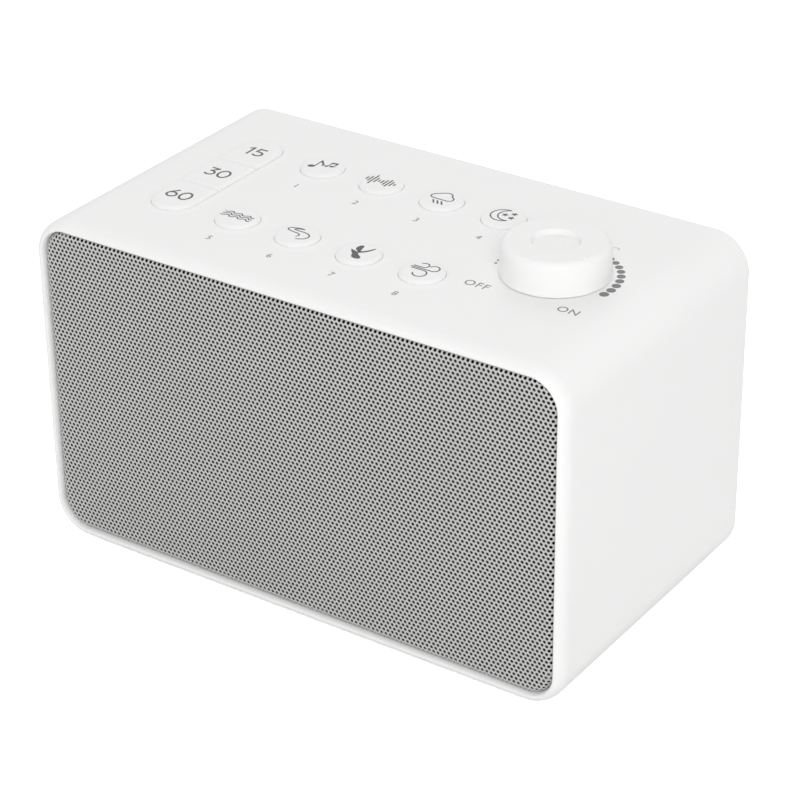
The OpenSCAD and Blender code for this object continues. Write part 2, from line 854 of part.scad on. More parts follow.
// Outline of one timer key about its middle, counterclockwise from above. The keys at the two
// ends of the strip have one half-round end; the others end at the splits.
function timer_outline(row, grow, split_grow) =
    let (r = timer_w / 2 + grow, half = (timer_pitch - timer_split) / 2 + split_grow,
         end = (timer_len - timer_w) / 2 - timer_pitch)
    row == 0 ? concat(arc_points(0, end, r, r, 0, 180, 2 * arc_steps), [[-r, -half], [r, -half]])
    : row == 1 ? [[r, -half], [r, half], [-r, half], [-r, -half]]
    : concat(arc_points(0, -end, r, r, 180, 360, 2 * arc_steps), [[r, half], [-r, half]]);

module timer_slab(row, grow, split_grow, z0, z1) {
    translate([0, 0, z0]) linear_extrude(z1 - z0) polygon(timer_outline(row, grow, split_grow));
}

// Cap with a soft edge like a sound button's, a flange, a hollow below its roof, and a stem
module timer_key(key) {
    row = timer_row(key);
    roof_z = key_top_z - key_roof;
    under_z = key_flange_z - key_flange_t;
    color(key_white)
    translate([timer_x, timer_middle(key), 0])
    union() {
        difference() {
            union() {
                lofted(concat(
                    [[for (point = timer_outline(row, 0, 0)) [point[0], point[1], under_z]]],
                    [for (step = [0 : edge_steps])
                        let (turn = 90 * step / edge_steps, inset = key_edge * (1 - cos(turn)))
                        [for (point = timer_outline(row, -inset, -inset))
                            [point[0], point[1], key_top_z - key_edge * (1 - sin(turn))]]]
                ));
                timer_slab(row, key_flange_out, 0, under_z, key_flange_z);
            }
            timer_slab(row, -key_roof, -key_roof, under_z - overcut, roof_z);
        }
        rod_z(stem_r, 0, 0, plunger_top_z, roof_z + weld);
    }
}

// --- Volume knob ----------------------------------------------------------------------------

module volume_knob() {
    bowl_r = (dish_r * dish_r + dish_depth * dish_depth) / (2 * dish_depth);
    bowl_turn = asin(dish_r / bowl_r);
    color(key_white)
    union() {
        translate([knob_x, control_y, 0]) rotate_extrude() polygon(concat(
            arc_points(0, knob_top_z + bowl_r - dish_depth, bowl_r, bowl_r, -90, -90 + bowl_turn),
            arc_points(knob_top_r - knob_round, knob_top_z - knob_round, knob_round, knob_round, 90, 0),
            [[knob_r, knob_bottom_z], [knob_r - knob_wall, knob_bottom_z],
             [knob_top_r - knob_wall, knob_cavity_top_z], [hub_r, knob_cavity_top_z],
             [hub_r, hub_bottom_z], [shaft_r + pilot_gap / 2, hub_bottom_z],
             [shaft_r + pilot_gap / 2, shaft_top_z + pilot_gap], [0, shaft_top_z + pilot_gap]]
        ));
        translate([knob_x, control_y, 0]) rotate([0, 0, pointer_angle])
            rod_z(pointer_r, knob_top_r - knob_round - pointer_in, 0,
                  knob_top_z - weld, knob_top_z + pointer_rise);
    }
}

module pot_shaft() {
    color(steel)
    rod_z(shaft_r, knob_x, control_y, wiper_z + wiper_t, shaft_top_z);
}

module pot_wiper() {
    color(brass)
    rod_z(wiper_r, knob_x, control_y, wiper_z, wiper_z + wiper_t);
}

// Round case with a threaded bushing that comes up through the panel
module pot_case() {
    color(steel)
    difference() {
        union() {
            rod_z(pot_r, knob_x, control_y, board_top_z, pot_top_z);
            rod_z(bushing_r, knob_x, control_y, pot_top_z - weld, bushing_top_z);
        }
        rod_z(pot_r - pot_wall, knob_x, control_y, board_top_z + pot_wall, pot_top_z - pot_wall);
        rod_z(shaft_r + run_gap, knob_x, control_y, pot_top_z - 2 * pot_wall, bushing_top_z + overcut);
    }
}

module pot_nut() {
    color(steel)
    difference() {
        translate([knob_x, control_y, top_z]) cylinder(r = nut_r, h = nut_t, $fn = 6);
        rod_z(bushing_r + pilot_gap, knob_x, control_y, top_z - overcut, top_z + nut_t + overcut);
    }
}

// --- Electronics ----------------------------------------------------------------------------

module control_board() {
    color(board_green)
    difference() {
        block(board_left_x, board_right_x, control_y - board_half_d, control_y + board_half_d,
              board_under_z, board_top_z);
        for (place = board_screw_places)
            rod_z(small_shank_r + key_gap, place[0], place[1],
                  board_under_z - overcut, board_top_z + overcut);
    }
}

module jack_board() {
    color(board_green)
    difference() {
        block(jack_left_x, jack_right_x, jack_front_y, jack_back_y, jack_board_z, jack_top_z);
        for (place = jack_screw_places)
            rod_z(small_shank_r + key_gap, place[0], place[1],
                  jack_board_z - overcut, jack_top_z + overcut);
    }
}

// Screws of both boards; those of the jack board point down
module board_screws() {
    color(steel) {
        for (place = board_screw_places)
            screw_up(place[0], place[1], board_under_z, board_t + board_screw_l - overcut);
        for (place = jack_screw_places)
            translate([0, 0, 2 * jack_top_z]) mirror([0, 0, 1])
                screw_up(place[0], place[1], jack_top_z, board_t + board_screw_l - overcut);
    }
}

module key_switches() {
    color(dark)
    for (place = switch_places)
        difference() {
            block(place[0] - switch_w / 2, place[0] + switch_w / 2,
                  place[1] - switch_w / 2, place[1] + switch_w / 2,
                  board_top_z, board_top_z + switch_h);
            rod_z(plunger_r + run_gap, place[0], place[1],
                  board_top_z + switch_floor, board_top_z + switch_h + overcut);
        }
}

// Chip that hangs under the control board; its size is width, depth and height
module chip(x, y, size) {
    color(dark)
    block(x - size[0] / 2, x + size[0] / 2, y - size[1] / 2, y + size[1] / 2,
          board_under_z - size[2], board_under_z);
}

module sound_chip() {
    chip(first_button_x, control_y, sound_chip_size);
}

module amplifier_chip() {
    chip(first_button_x + button_pitch, control_y + row_pitch / 3, amplifier_chip_size);
}

module capacitors() {
    color([0.25, 0.28, 0.4])
    for (step = [0 : 2])
        rod_z(capacitor_r, first_button_x + (2 + step / 2) * button_pitch, control_y + row_pitch / 2,
              board_under_z - capacitor_h, board_under_z);
}

module board_sockets() {
    color([0.9, 0.88, 0.8]) {
        block(tag_x - socket_d / 2, tag_x + socket_d / 2,
              wire_socket_y - socket_w / 2, wire_socket_y + socket_w / 2,
              board_under_z - socket_h, board_under_z);
        block(cable_x - socket_w / 2, cable_x + socket_w / 2,
              cable_upper_y - socket_d / 2, cable_upper_y + socket_d / 2,
              board_under_z - socket_h, board_under_z);
        block(cable_x - socket_w / 2, cable_x + socket_w / 2,
              cable_lower_y - socket_d / 2, cable_lower_y + socket_d / 2,
              jack_top_z, jack_top_z + socket_h);
    }
}

// Flat cable from the jack board straight up, across and into the control board's socket
module ribbon_cable() {
    x0 = cable_x - cable_w / 2;
    x1 = cable_x + cable_w / 2;
    half = cable_t / 2;
    color([0.8, 0.8, 0.82])
    union() {
        block(x0, x1, cable_lower_y - half, cable_lower_y + half,
              jack_top_z + socket_h, cable_bend_z + half);
        block(x0, x1, min(cable_lower_y, cable_upper_y) - half, max(cable_lower_y, cable_upper_y) + half,
              cable_bend_z - half, cable_bend_z + half);
        block(x0, x1, cable_upper_y - half, cable_upper_y + half,
              cable_bend_z - half, board_under_z - socket_h);
    }
}

// Inlet block on the jack board: a round nose reaches through the rear cover
module inlet(x, block_w, block_d, nose_r, bore_r, bore_depth) {
    nose_y = cover_out_y - jack_block_gap;
    difference() {
        union() {
            block(x - block_w / 2, x + block_w / 2, cover_in_y - jack_block_gap - block_d,
                  cover_in_y - jack_block_gap, jack_top_z, jack_top_z + jack_block_h);
            rod_y(nose_r, x, jack_axis_z, cover_in_y - overcut, nose_y);
        }
        rod_y(bore_r, x, jack_axis_z, nose_y - bore_depth, nose_y + overcut);
    }
}

module power_jack() {
    color(dark)
    inlet(power_x, power_block_w, power_block_d, power_nose_r, power_bore_r, power_bore_depth);
}

// Centre pin, rooted in the block behind the bore
module power_pin() {
    bore_end_y = cover_out_y - jack_block_gap - power_bore_depth;
    color(brass)
    rod_y(power_pin_r, power_x, jack_axis_z, bore_end_y, bore_end_y + power_pin_l);
}

module phone_jack() {
    color(dark)
    inlet(phone_x, phone_block_w, phone_block_d, phone_nose_r, phone_bore_r, phone_bore_depth);
}

// --- Assembly -------------------------------------------------------------------------------

housing();
rear_cover();
cover_screws();
feet();
front_grille();
grille_cloth();
baffle();
baffle_screws();
driver_gasket();
driver_basket();
driver_screws();
driver_terminals();
cone_surround();
speaker_cone();
dust_cap();
spider();
voice_coil();
top_plate();
magnet_ring();
pole_yoke();
speaker_wires();
volume_knob();
pot_shaft();
pot_wiper();
pot_case();
pot_nut();
control_board();
board_screws();
key_switches();
sound_chip();
amplifier_chip();
capacitors();
board_sockets();
ribbon_cable();
jack_board();
power_jack();
power_pin();
phone_jack();
for (key = SOUND_KEYS) {
    sound_button(key);
    plunger(button_place(key));
}
for (key = TIMER_KEYS) {
    timer_key(key);
    plunger([timer_x, timer_middle(key)]);
}
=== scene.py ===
import json
import math

import bmesh
import bpy
import numpy as np
from mathutils import Matrix, Vector
from mathutils.geometry import delaunay_2d_cdt


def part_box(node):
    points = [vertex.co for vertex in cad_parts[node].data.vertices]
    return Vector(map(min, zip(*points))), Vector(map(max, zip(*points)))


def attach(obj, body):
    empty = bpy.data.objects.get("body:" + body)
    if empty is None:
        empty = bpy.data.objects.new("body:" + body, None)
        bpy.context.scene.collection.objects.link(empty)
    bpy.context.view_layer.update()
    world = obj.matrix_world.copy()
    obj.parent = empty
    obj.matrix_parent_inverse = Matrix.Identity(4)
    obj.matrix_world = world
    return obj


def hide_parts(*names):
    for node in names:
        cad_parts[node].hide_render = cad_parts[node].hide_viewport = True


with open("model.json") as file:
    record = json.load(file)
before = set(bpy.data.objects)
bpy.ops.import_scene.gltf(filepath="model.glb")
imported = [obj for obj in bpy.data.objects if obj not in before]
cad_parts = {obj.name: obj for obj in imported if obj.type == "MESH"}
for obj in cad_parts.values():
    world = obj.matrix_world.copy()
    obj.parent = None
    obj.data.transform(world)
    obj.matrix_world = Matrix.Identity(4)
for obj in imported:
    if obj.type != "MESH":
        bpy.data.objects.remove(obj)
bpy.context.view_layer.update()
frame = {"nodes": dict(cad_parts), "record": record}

# Dressed tabletop sound machine. Points are worked out in millimetres in the frame of the CAD
# model and stored in metres. A surface is a pair: its points, and its faces as four corner
# numbers each, where a triangle repeats its last corner.

MM = 0.001
TINY = 1e-6
BODY = "sound_machine"
TIMER_NUMBERS = (15, 30, 60)

# ------------ places taken from the CAD


def cad_span(node):
    """Lowest and highest corner of a CAD node, in millimetres."""
    low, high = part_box(node)
    return np.array(low) / MM, np.array(high) / MM


def cad_middle(node):
    """Middle of a CAD node's box, seen from above, in millimetres."""
    low, high = cad_span(node)
    return ((low + high) / 2)[:2]


SLEEVE_LOW, SLEEVE_HIGH = cad_span("housing")
FRONT_Y, BACK_Y = SLEEVE_LOW[1], SLEEVE_HIGH[1]
TOP_Z = SLEEVE_HIGH[2]
MID_Z = (SLEEVE_LOW[2] + SLEEVE_HIGH[2]) / 2
HALF_W = (SLEEVE_HIGH[0] - SLEEVE_LOW[0]) / 2
HALF_H = (SLEEVE_HIGH[2] - SLEEVE_LOW[2]) / 2
GRILLE_LOW, GRILLE_HIGH = cad_span("front_grille")
LINING_LOW, LINING_HIGH = cad_span("grille_cloth")
BAFFLE_REAR_Y = cad_span("baffle")[1][1]
BUTTON_SPOTS = [cad_middle(f"sound_button_{key}") for key in range(1, 9)]
KEY_TOP_Z = cad_span("sound_button_1")[1][2]
KNOB_LOW, KNOB_HIGH = cad_span("volume_knob")
KNOB_SPOT = cad_middle("volume_knob")

# Straight runs have extra points this far from their ends, which keep their shading flat
HOLD = 0.4
SMALL_HOLD = 0.3

# Sleeve: its corners, wall, rounded crown and rear edge, grille well and ledge, and small light
CORNER_R = 10.4
CORNER_STEPS = 24
WALL = 2.4
CROWN_DEPTH = 4
CROWN_INSET = 2.1
REAR_ROUND = 1.6
RIM = 2.5
LEDGE_W = 6.5
LEDGE_T = 2.5
MOUTH_DEPTH = 1.7
REAR_LIP = 0.4
CEILING_Z = TOP_Z - WALL
BUSHING_HOLE_R = 3.8
LIGHT_SPOT = (54.9, 19.5)
LIGHT_HOLE_R = 1.05

# Keys
BUTTON_R = 5.9
KEY_GAP = 0.07
# Soft chamfer of a key: how far inside its side and how far below its top each point lies
KEY_CHAMFER = ((0.85, 0), (0.72, 0.04), (0.16, 0.46), (0.03, 0.58), (0, 0.72), (0, 1.3))
KEY_EDGE = KEY_CHAMFER[0][0]
SPLIT_SHARE = 0.6
SWELL = 0.2
SWELL_W = 2.3
RIM_ROLL = 0.1
FLANGE_OUT = 1.1
FLANGE_TOP_Z = CEILING_Z - 0.15
FLANGE_UNDER_Z = FLANGE_TOP_Z - 1
STEM_R = 1.8
STEM_UNDER_Z = cad_span("sound_button_1")[0][2]
TIMER_SHIFT = np.array([0.8, -0.3])
TIMER_SPOT = cad_middle("timer_key_30") + TIMER_SHIFT
TIMER_W = 12.6
TIMER_LEN = 48.6
TIMER_SPLIT = 0.3
TIMER_PITCH = TIMER_LEN / len(TIMER_NUMBERS)

# Knob, and its ring of dots from the loud end to the quiet end
KNOB_TOP_Z = TOP_Z + 9
KNOB_UNDER_Z = TOP_Z + 0.15
POINTER_TURN = -24
DOT_COUNT = 26
DOT_FIRST_TURN = -12
DOT_GAPS = (10, 6.3)
DOT_R = 1.225
DOT_SHRINK = 0.033
DOT_RING_R = 15.8
DOT_RING_SPOT = KNOB_SPOT + [0.3, -0.1]

# Grille: its pressed edge and its holes, the last of which lie this far round the edge. It is
# made in four parts between these places along X.
GRILLE_ROUND = 1.9
GRILLE_BEND = GRILLE_ROUND * np.pi / 2
GRILLE_END = GRILLE_BEND + GRILLE_HIGH[1] - GRILLE_LOW[1] - GRILLE_ROUND
GRILLE_PARTS = ("far_left", "left", "right", "far_right")
GRILLE_LIMITS = (-80, -38.4, 0, 38.4, 80)
SHEET_T = 0.15
HOLE_PITCH = 1.313
ROW_STEP = 1.1356
HOLE_R = 0.45
HOLE_POINTS = 12
LAST_HOLE = 2.4

# Printing stands this far above what it is printed on; strokes that cross differ by a little
INK_T = 0.02
STROKE_LIFT = 0.004
ICON_PEN = 0.37
DIGIT_PEN = 0.58
DIGIT_H = 4.05
DIGIT_STRETCH = 1.1
DIGIT_GAP = 0.24

# Edges sharper than this many degrees stay crisp
SHARP = 35
KNOB_SHARP = 22
GRILLE_SHARP = 50

# Light on the object and light that the camera sees, where 1 is white
HORIZON_LIGHT = 1.07
ZENITH_LIGHT = 0.355
FLOOR_TINT = 0.87
FLOOR_SEEN = 2.1
FLOOR_HALF = 4.0
LAMPS = (("key_light", (0.62, -0.78, 0.75), 0.6, 6.0),
         ("fill_light", (-0.46, 0.65, 0.98), 0.9, 3.2))
LAMP_AIM = (0, 0, 0.05)

# Camera: azimuth, elevation and roll in degrees, place in metres, and focal length in pixels of
# a picture this wide
CAMERA_TURNS = (34.711, 29.052, -0.692)
CAMERA_SPOT = (0.36526, -0.52312, 0.39818)
CAMERA_FOCAL = 2790.9
PICTURE_W = 800
SENSOR_W = 36

# ------------ surfaces


def grid_faces(rows, columns, wrap_rows=False, wrap_columns=False):
    """Corner numbers of the squares between neighbouring rows and columns of a grid of points."""
    row = np.arange(rows if wrap_rows else rows - 1)
    column = np.arange(columns if wrap_columns else columns - 1)
    row, column = (part.ravel() for part in np.meshgrid(row, column, indexing="ij"))
    here, beyond = row * columns, (row + 1) % rows * columns
    after = (column + 1) % columns
    return np.stack([here + column, beyond + column, beyond + after, here + after], axis=1)


def joined(*surfaces):
    """Several surfaces as one: the points follow each other and the faces count on."""
    starts = np.cumsum([0] + [len(points) for points, _ in surfaces[:-1]])
    return (np.concatenate([points for points, _ in surfaces]),
            np.concatenate([faces + start for (_, faces), start in zip(surfaces, starts)]))


def welded(points, faces):
    """Points in the same small cell become one. A face that loses one corner is a triangle,
    and a face that loses two goes. Gives points, triangles and quads."""
    cell, off_round_numbers = 0.001, 0.317
    cells = np.floor(points / cell + off_round_numbers).astype(np.int64)
    _, first, where = np.unique(cells, axis=0, return_index=True, return_inverse=True)
    faces = where.reshape(-1)[faces]
    same = faces == np.roll(faces, -1, axis=1)
    folded = (faces[:, 0] == faces[:, 2]) | (faces[:, 1] == faces[:, 3])
    lost = same.sum(axis=1)
    quads = faces[(lost == 0) & ~folded]
    three = lost == 1
    triangles = faces[three][~same[three]].reshape(-1, 3)
    return points[first], triangles, quads


def volume(points, faces):
    """Volume inside a surface: a sixth of the sum of the triple products of its triangles, each
    with the middle of the points."""
    a, b, c, d = ((points - points.mean(axis=0))[faces[:, corner]] for corner in range(4))
    return (a * (np.cross(b, c) + np.cross(c, d))).sum() / 6


def outward(surface):
    """The same closed or nearly closed surface with its faces turned so that they point out."""
    points, faces = surface
    return surface if volume(points, faces) > 0 else (points, faces[:, ::-1])


def shade(mesh, sharp_degrees):
    """Smooth shading, but for the edges that are sharper than the angle."""
    mesh.shade_smooth()
    mesh.set_sharp_from_angle(angle=math.radians(sharp_degrees))


def make_mesh(name, surface, sharp_degrees=SHARP):
    """Blender mesh of a surface."""
    points, triangles, quads = welded(*surface)
    mesh = bpy.data.meshes.new(name)
    mesh.from_pydata((points * MM).tolist(), [], triangles.tolist() + quads.tolist())
    mesh.validate()
    shade(mesh, sharp_degrees)
    return mesh


def placed(name, data):
    """New object in the scene."""
    thing = bpy.data.objects.new(name, data)
    bpy.context.scene.collection.objects.link(thing)
    return thing


def add_piece(name, mesh, body, material, replaced=()):
    """One piece of the object that rides on a body and may stand for CAD nodes."""
    piece = placed(name, mesh)
    mesh.materials.clear()
    mesh.materials.append(material)
    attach(piece, body)
    if replaced:
        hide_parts(*replaced)
    return piece


def ways(turn):
    """Unit vectors at angles in radians."""
    return np.stack([np.cos(turn), np.sin(turn)], axis=-1)


def raised(flat, level):
    """Flat points, all at one level."""
    return np.column_stack([flat, np.full(len(flat), level)])


def arc(x, y, rx, ry, start, end, steps):
    """Points of an ellipse about (x, y) from one angle to another, in degrees."""
    return [x, y] + [rx, ry] * ways(np.radians(np.linspace(start, end, steps + 1)))


def run(x0, y0, x1, y1, hold=HOLD):
    """A straight run with an extra point near either end."""
    start, end = np.array([x0, y0], float), np.array([x1, y1], float)
    step = hold * (end - start) / np.linalg.norm(end - start)
    return np.stack([start, start + step, end - step, end])


def round_path(spot, steps=96):
    """Path round a point: the base stays at the point and the normal turns once."""
    turn = np.linspace(0, 2 * np.pi, steps, endpoint=False)
    return np.tile(np.asarray(spot, float), (steps, 1)), ways(turn)


def cornered_path(half_x, half_y, middle, steps):
    """Path round a rectangle of corner centres: at each corner the normal turns a quarter, and
    between corners it stays, with one extra point near either end."""
    bases, normals = [], []
    centres = np.array([[1, 1], [-1, 1], [-1, -1], [1, -1]]) * [half_x, half_y]
    for corner in range(4):
        turn = np.radians(np.linspace(90 * corner, 90 * corner + 90, steps + 1))
        here, beyond = centres[corner], centres[(corner + 1) % 4]
        along = (beyond - here) / max(np.linalg.norm(beyond - here), TINY)
        bases += [np.tile(here, (steps + 1, 1)), [here + HOLD * along, beyond - HOLD * along]]
        normals += [ways(turn), ways(turn[[-1, -1]])]
    return np.concatenate(bases) + middle, np.concatenate(normals)


def swept(path, profile, upright=True, wrap_profile=False):
    """Profile carried round a closed path: the point at path step u and profile step v is
    base(u) + reach(v) * normal(u), at level(v). Upright paths lie in XY, the others in XZ."""
    base, normal = path
    reach, level = np.asarray(profile, float).T
    flat = base[:, None, :] + reach[None, :, None] * normal[:, None, :]
    levels = np.broadcast_to(level, flat.shape[:2])
    x, y = flat[..., 0], flat[..., 1]
    points = np.stack((x, y, levels) if upright else (x, levels, y), axis=-1).reshape(-1, 3)
    return points, grid_faces(len(base), len(reach), wrap_rows=True, wrap_columns=wrap_profile)


def turned(profile, spot, steps=96):
    """Closed surface of revolution about an upright axis. The profile's ends lie on the axis."""
    return outward(swept(round_path(spot, steps), profile))


def stacked(rings):
    """Closed surface through a stack of rings with equally many points, with a fan over each
    end from the middle of its ring."""
    rings = np.asarray(rings, float)
    levels, around = rings.shape[:2]
    points = np.concatenate([rings.reshape(-1, 3), rings[[0, -1]].mean(axis=1)])
    here = np.arange(around)
    beyond = (here + 1) % around
    low, high = (np.full(around, levels * around + end) for end in (0, 1))
    top = (levels - 1) * around
    fans = [np.stack([beyond, here, low, low], axis=1),
            np.stack([top + here, top + beyond, high, high], axis=1)]
    sides = grid_faces(levels, around, wrap_columns=True)[:, ::-1]
    return outward((points, np.concatenate([sides, *fans])))


def inside(points, loop):
    """Which points lie inside a closed outline, by counting the sides that a ray crosses."""
    a, b = loop, np.roll(loop, -1, axis=0)
    x, y = points[:, 0, None], points[:, 1, None]
    straddles = (a[:, 1] > y) != (b[:, 1] > y)
    rise = np.where(b[:, 1] == a[:, 1], 1, b[:, 1] - a[:, 1])
    crosses = x < (b[:, 0] - a[:, 0]) * (y - a[:, 1]) / rise + a[:, 0]
    return (straddles & crosses).sum(axis=1) % 2 == 1


def sheet_between(outline, holes):
    """Flat triangles inside an outline and outside its holes (constrained Delaunay)."""
    loops = [np.asarray(loop, float) for loop in (outline, *holes)]
    starts = np.cumsum([0] + [len(loop) for loop in loops[:-1]])
    edges = [(start + i, start + (i + 1) % len(loop))
             for start, loop in zip(starts, loops) for i in range(len(loop))]
    corners, outside, nearly_same = [Vector(point) for loop in loops for point in loop], 0, 1e-7
    found = delaunay_2d_cdt(corners, edges, [], outside, nearly_same)
    points, triangles = np.array([tuple(point) for point in found[0]]), np.array(found[2])
    middles = points[triangles].mean(axis=1)
    keep = inside(middles, loops[0])
    for hole in loops[1:]:
        keep &= ~inside(middles, hole)
    return points, triangles[keep]


def level_sheet(outline, holes, level, up=True):
    """Flat horizontal sheet with holes at one level, facing up or down."""
    points, triangles = sheet_between(outline, holes)
    corners = points[triangles]
    first, second = corners[:, 1] - corners[:, 0], corners[:, 2] - corners[:, 0]
    turn_over = (first[:, 0] * second[:, 1] - first[:, 1] * second[:, 0] > 0) != up
    triangles[turn_over] = triangles[turn_over][:, ::-1]
    faces = np.concatenate([triangles, triangles[:, 2:]], axis=1)
    return raised(points, level), faces


def thickened(front, back, faces):
    """Closed sheet between two skins with the same faces, with a wall along every open edge."""
    count = len(front)
    start, end = faces.ravel(), np.roll(faces, -1, axis=1).ravel()
    real = start != end
    start, end = start[real], end[real]
    paired = np.isin(start * count + end, end * count + start)
    start, end = start[~paired], end[~paired]
    walls = np.stack([end, start, start + count, end + count], axis=1)
    return np.concatenate([front, back]), np.concatenate([faces, faces[:, ::-1] + count, walls])


def plate(outline, level):
    """Thin printed shape: a flat outline, raised by the thickness of the ink."""
    points, faces = level_sheet(outline, (), level + INK_T)
    return outward(thickened(points, points - [0, 0, INK_T], faces))


def stroke(line, width, level, closed=False):
    """Thin printed line: a flat band of even width along a line of points."""
    line = np.asarray(line, float)
    if closed:
        along = np.roll(line, -1, axis=0) - np.roll(line, 1, axis=0)
    else:
        along = np.gradient(line, axis=0)
    along /= np.linalg.norm(along, axis=1, keepdims=True)
    side = np.stack([-along[:, 1], along[:, 0]], axis=1) * width / 2
    corners = [(side, level + INK_T), (-side, level + INK_T), (-side, level), (side, level)]
    rings = np.stack([raised(line + shift, z) for shift, z in corners], axis=1)
    if closed:
        return outward((rings.reshape(-1, 3), grid_faces(len(line), 4, True, True)))
    return stacked(rings)


# ------------ materials


def shader_group(name, sizes, mask):
    """Empty node group: the place and named sizes come in, the normal and a mask go out."""
    group = bpy.data.node_groups.new(name, "ShaderNodeTree")
    sockets = [("Place", "INPUT", "Vector"), *[(label, "INPUT", "Float") for label in sizes],
               ("Normal", "OUTPUT", "Vector"), (mask, "OUTPUT", "Float")]
    for label, way, kind in sockets:
        socket = group.interface.new_socket(name=label, in_out=way, socket_type="NodeSocket" + kind)
        if label in sizes:
            socket.default_value = sizes[label]
    return group, group.nodes.new("NodeGroupInput"), group.nodes.new("NodeGroupOutput")


def put(tree, kind, settings=(), **values):
    """A new shader node with its settings and the values of its input sockets."""
    node = tree.nodes.new("ShaderNode" + kind)
    for label, value in dict(settings).items():
        setattr(node, label, value)
    for label, value in values.items():
        node.inputs[label.replace("_", " ")].default_value = value
    return node


def wire(tree, *joins):
    """Links: each is a node, its output, the next node and its input."""
    for source, leaving, target, entering in joins:
        tree.links.new(source.outputs[leaving], target.inputs[entering])


def scaled(tree, given, size):
    """The given place divided by a given size, so that a pattern of unit scale repeats at it."""
    divide = put(tree, "VectorMath", {"operation": "DIVIDE"})
    spread = put(tree, "CombineXYZ")
    wire(tree, *[(given, size, spread, axis) for axis in "XYZ"],
         (given, "Place", divide, 0), (spread, 0, divide, 1))
    return divide


def bumped(tree, given, pattern, leaving, result):
    """Sends out the normal of a height pattern whose full depth is given in metres."""
    bump = put(tree, "Bump")
    wire(tree, (pattern, leaving, bump, "Height"), (given, "Depth", bump, "Distance"),
         (bump, "Normal", result, "Normal"))


def grain_group():
    """Fine moulded or sprayed grain: noise at the grain's size for the normal, and broad soft
    noise for tint and gloss."""
    group, given, result = shader_group(
        "moulded_grain", {"Grain": 0.0003, "Depth": 0.00001, "Patch": 0.03}, "Patches")
    fine = put(group, "TexNoise", Scale=1.0, Detail=2.0, Roughness=0.5)
    broad = put(group, "TexNoise", Scale=1.0, Detail=3.0, Roughness=0.55)
    bumped(group, given, fine, "Fac", result)
    wire(group, (scaled(group, given, "Grain"), 0, fine, "Vector"),
         (scaled(group, given, "Patch"), 0, broad, "Vector"), (broad, "Fac", result, "Patches"))
    return group


def weave_group():
    """Plain weave in the XZ plane: threads along X and along Z, each a sine across its width,
    that pass over and under each other in turn."""
    group, given, result = shader_group(
        "plain_weave", {"Thread": 0.0004, "Depth": 0.00008}, "Cover")
    parts = put(group, "SeparateXYZ")
    product = put(group, "Math", {"operation": "MULTIPLY"})
    for end, axis in enumerate("XZ"):
        turn = put(group, "Math", {"operation": "MULTIPLY"})
        turn.inputs[1].default_value = math.pi
        sine = put(group, "Math", {"operation": "SINE"})
        wire(group, (parts, axis, turn, 0), (turn, 0, sine, 0), (sine, 0, product, end))
    cover = put(group, "MapRange", From_Min=-1.0)
    bumped(group, given, cover, "Result", result)
    wire(group, (scaled(group, given, "Thread"), 0, parts, 0), (product, 0, cover, "Value"),
         (cover, "Result", result, "Cover"))
    return group


def brushed_group():
    """Fine lines along X on metal: noise squeezed across the lines."""
    group, given, result = shader_group(
        "brushed_lines", {"Line": 0.0002, "Depth": 0.000004}, "Lines")
    squeeze = put(group, "VectorMath", {"operation": "MULTIPLY"})
    squeeze.inputs[1].default_value = (0.03, 1.0, 1.0)
    noise = put(group, "TexNoise", Scale=1.0, Detail=2.0, Roughness=0.6)
    bumped(group, given, noise, "Fac", result)
    wire(group, (scaled(group, given, "Line"), 0, squeeze, 0), (squeeze, 0, noise, "Vector"),
         (noise, "Fac", result, "Lines"))
    return group


GROUPS = {"grain": grain_group(), "weave": weave_group(), "brushed": brushed_group()}
FINISH = {}


def add_finish(name, pattern, values, mask, dark, light, rough, **shader_values):
    """Material whose pattern group gives the normal and a mask; the mask mixes two colours and
    sets the roughness between two values. Other shader values are plain."""
    material = bpy.data.materials.new(name)
    material.use_nodes = True
    tree = material.node_tree
    shader = tree.nodes["Principled BSDF"]
    place = put(tree, "TexCoord")
    group = put(tree, "Group")
    group.node_tree = GROUPS[pattern]
    for label, value in values.items():
        group.inputs[label].default_value = value
    mix = put(tree, "Mix", {"data_type": "RGBA"})
    for socket, value in zip([s for s in mix.inputs if s.type == "RGBA"], (dark, light)):
        socket.default_value = (*value, 1)
    mixed = [s.type for s in mix.outputs].index("RGBA")
    gloss = put(tree, "MapRange", From_Min=0.25, From_Max=0.75, To_Min=rough[0], To_Max=rough[1])
    wire(tree, (place, "Object", group, "Place"), (group, mask, mix, "Factor"),
         (mix, mixed, shader, "Base Color"), (group, mask, gloss, "Value"),
         (gloss, "Result", shader, "Roughness"), (group, "Normal", shader, "Normal"))
    for label, value in shader_values.items():
        shader.inputs[label.replace("_", " ")].default_value = value
    FINISH[name] = material


def plastic(name, colour, rough, spread=0.012, grain=0.3, depth=6, **values):
    """Moulded plastic or rubber: fine grain, in millimetres across and thousandths of one deep,
    and a faint drift of tint and gloss."""
    dark, light = (tuple(part * (1 + way * spread) for part in colour) for way in (-1, 1))
    grains = {"Grain": grain * MM, "Depth": depth * MM**2, "Patch": 0.035}
    add_finish(name, "grain", grains, "Patches", dark, light, rough, **values)


def metal(name, colour):
    """Plain metal with fine brushed lines."""
    dark = tuple(part * 0.9 for part in colour)
    add_finish(name, "brushed", {}, "Lines", dark, colour, (0.28, 0.42), Metallic=1.0)


def cloth(name, dark, light, thread, depth):
    """Woven cloth or woven paper-like sheet."""
    add_finish(name, "weave", {"Thread": thread, "Depth": depth}, "Cover", dark, light,
               (0.85, 0.95), Sheen_Weight=0.2, Sheen_Roughness=0.6)


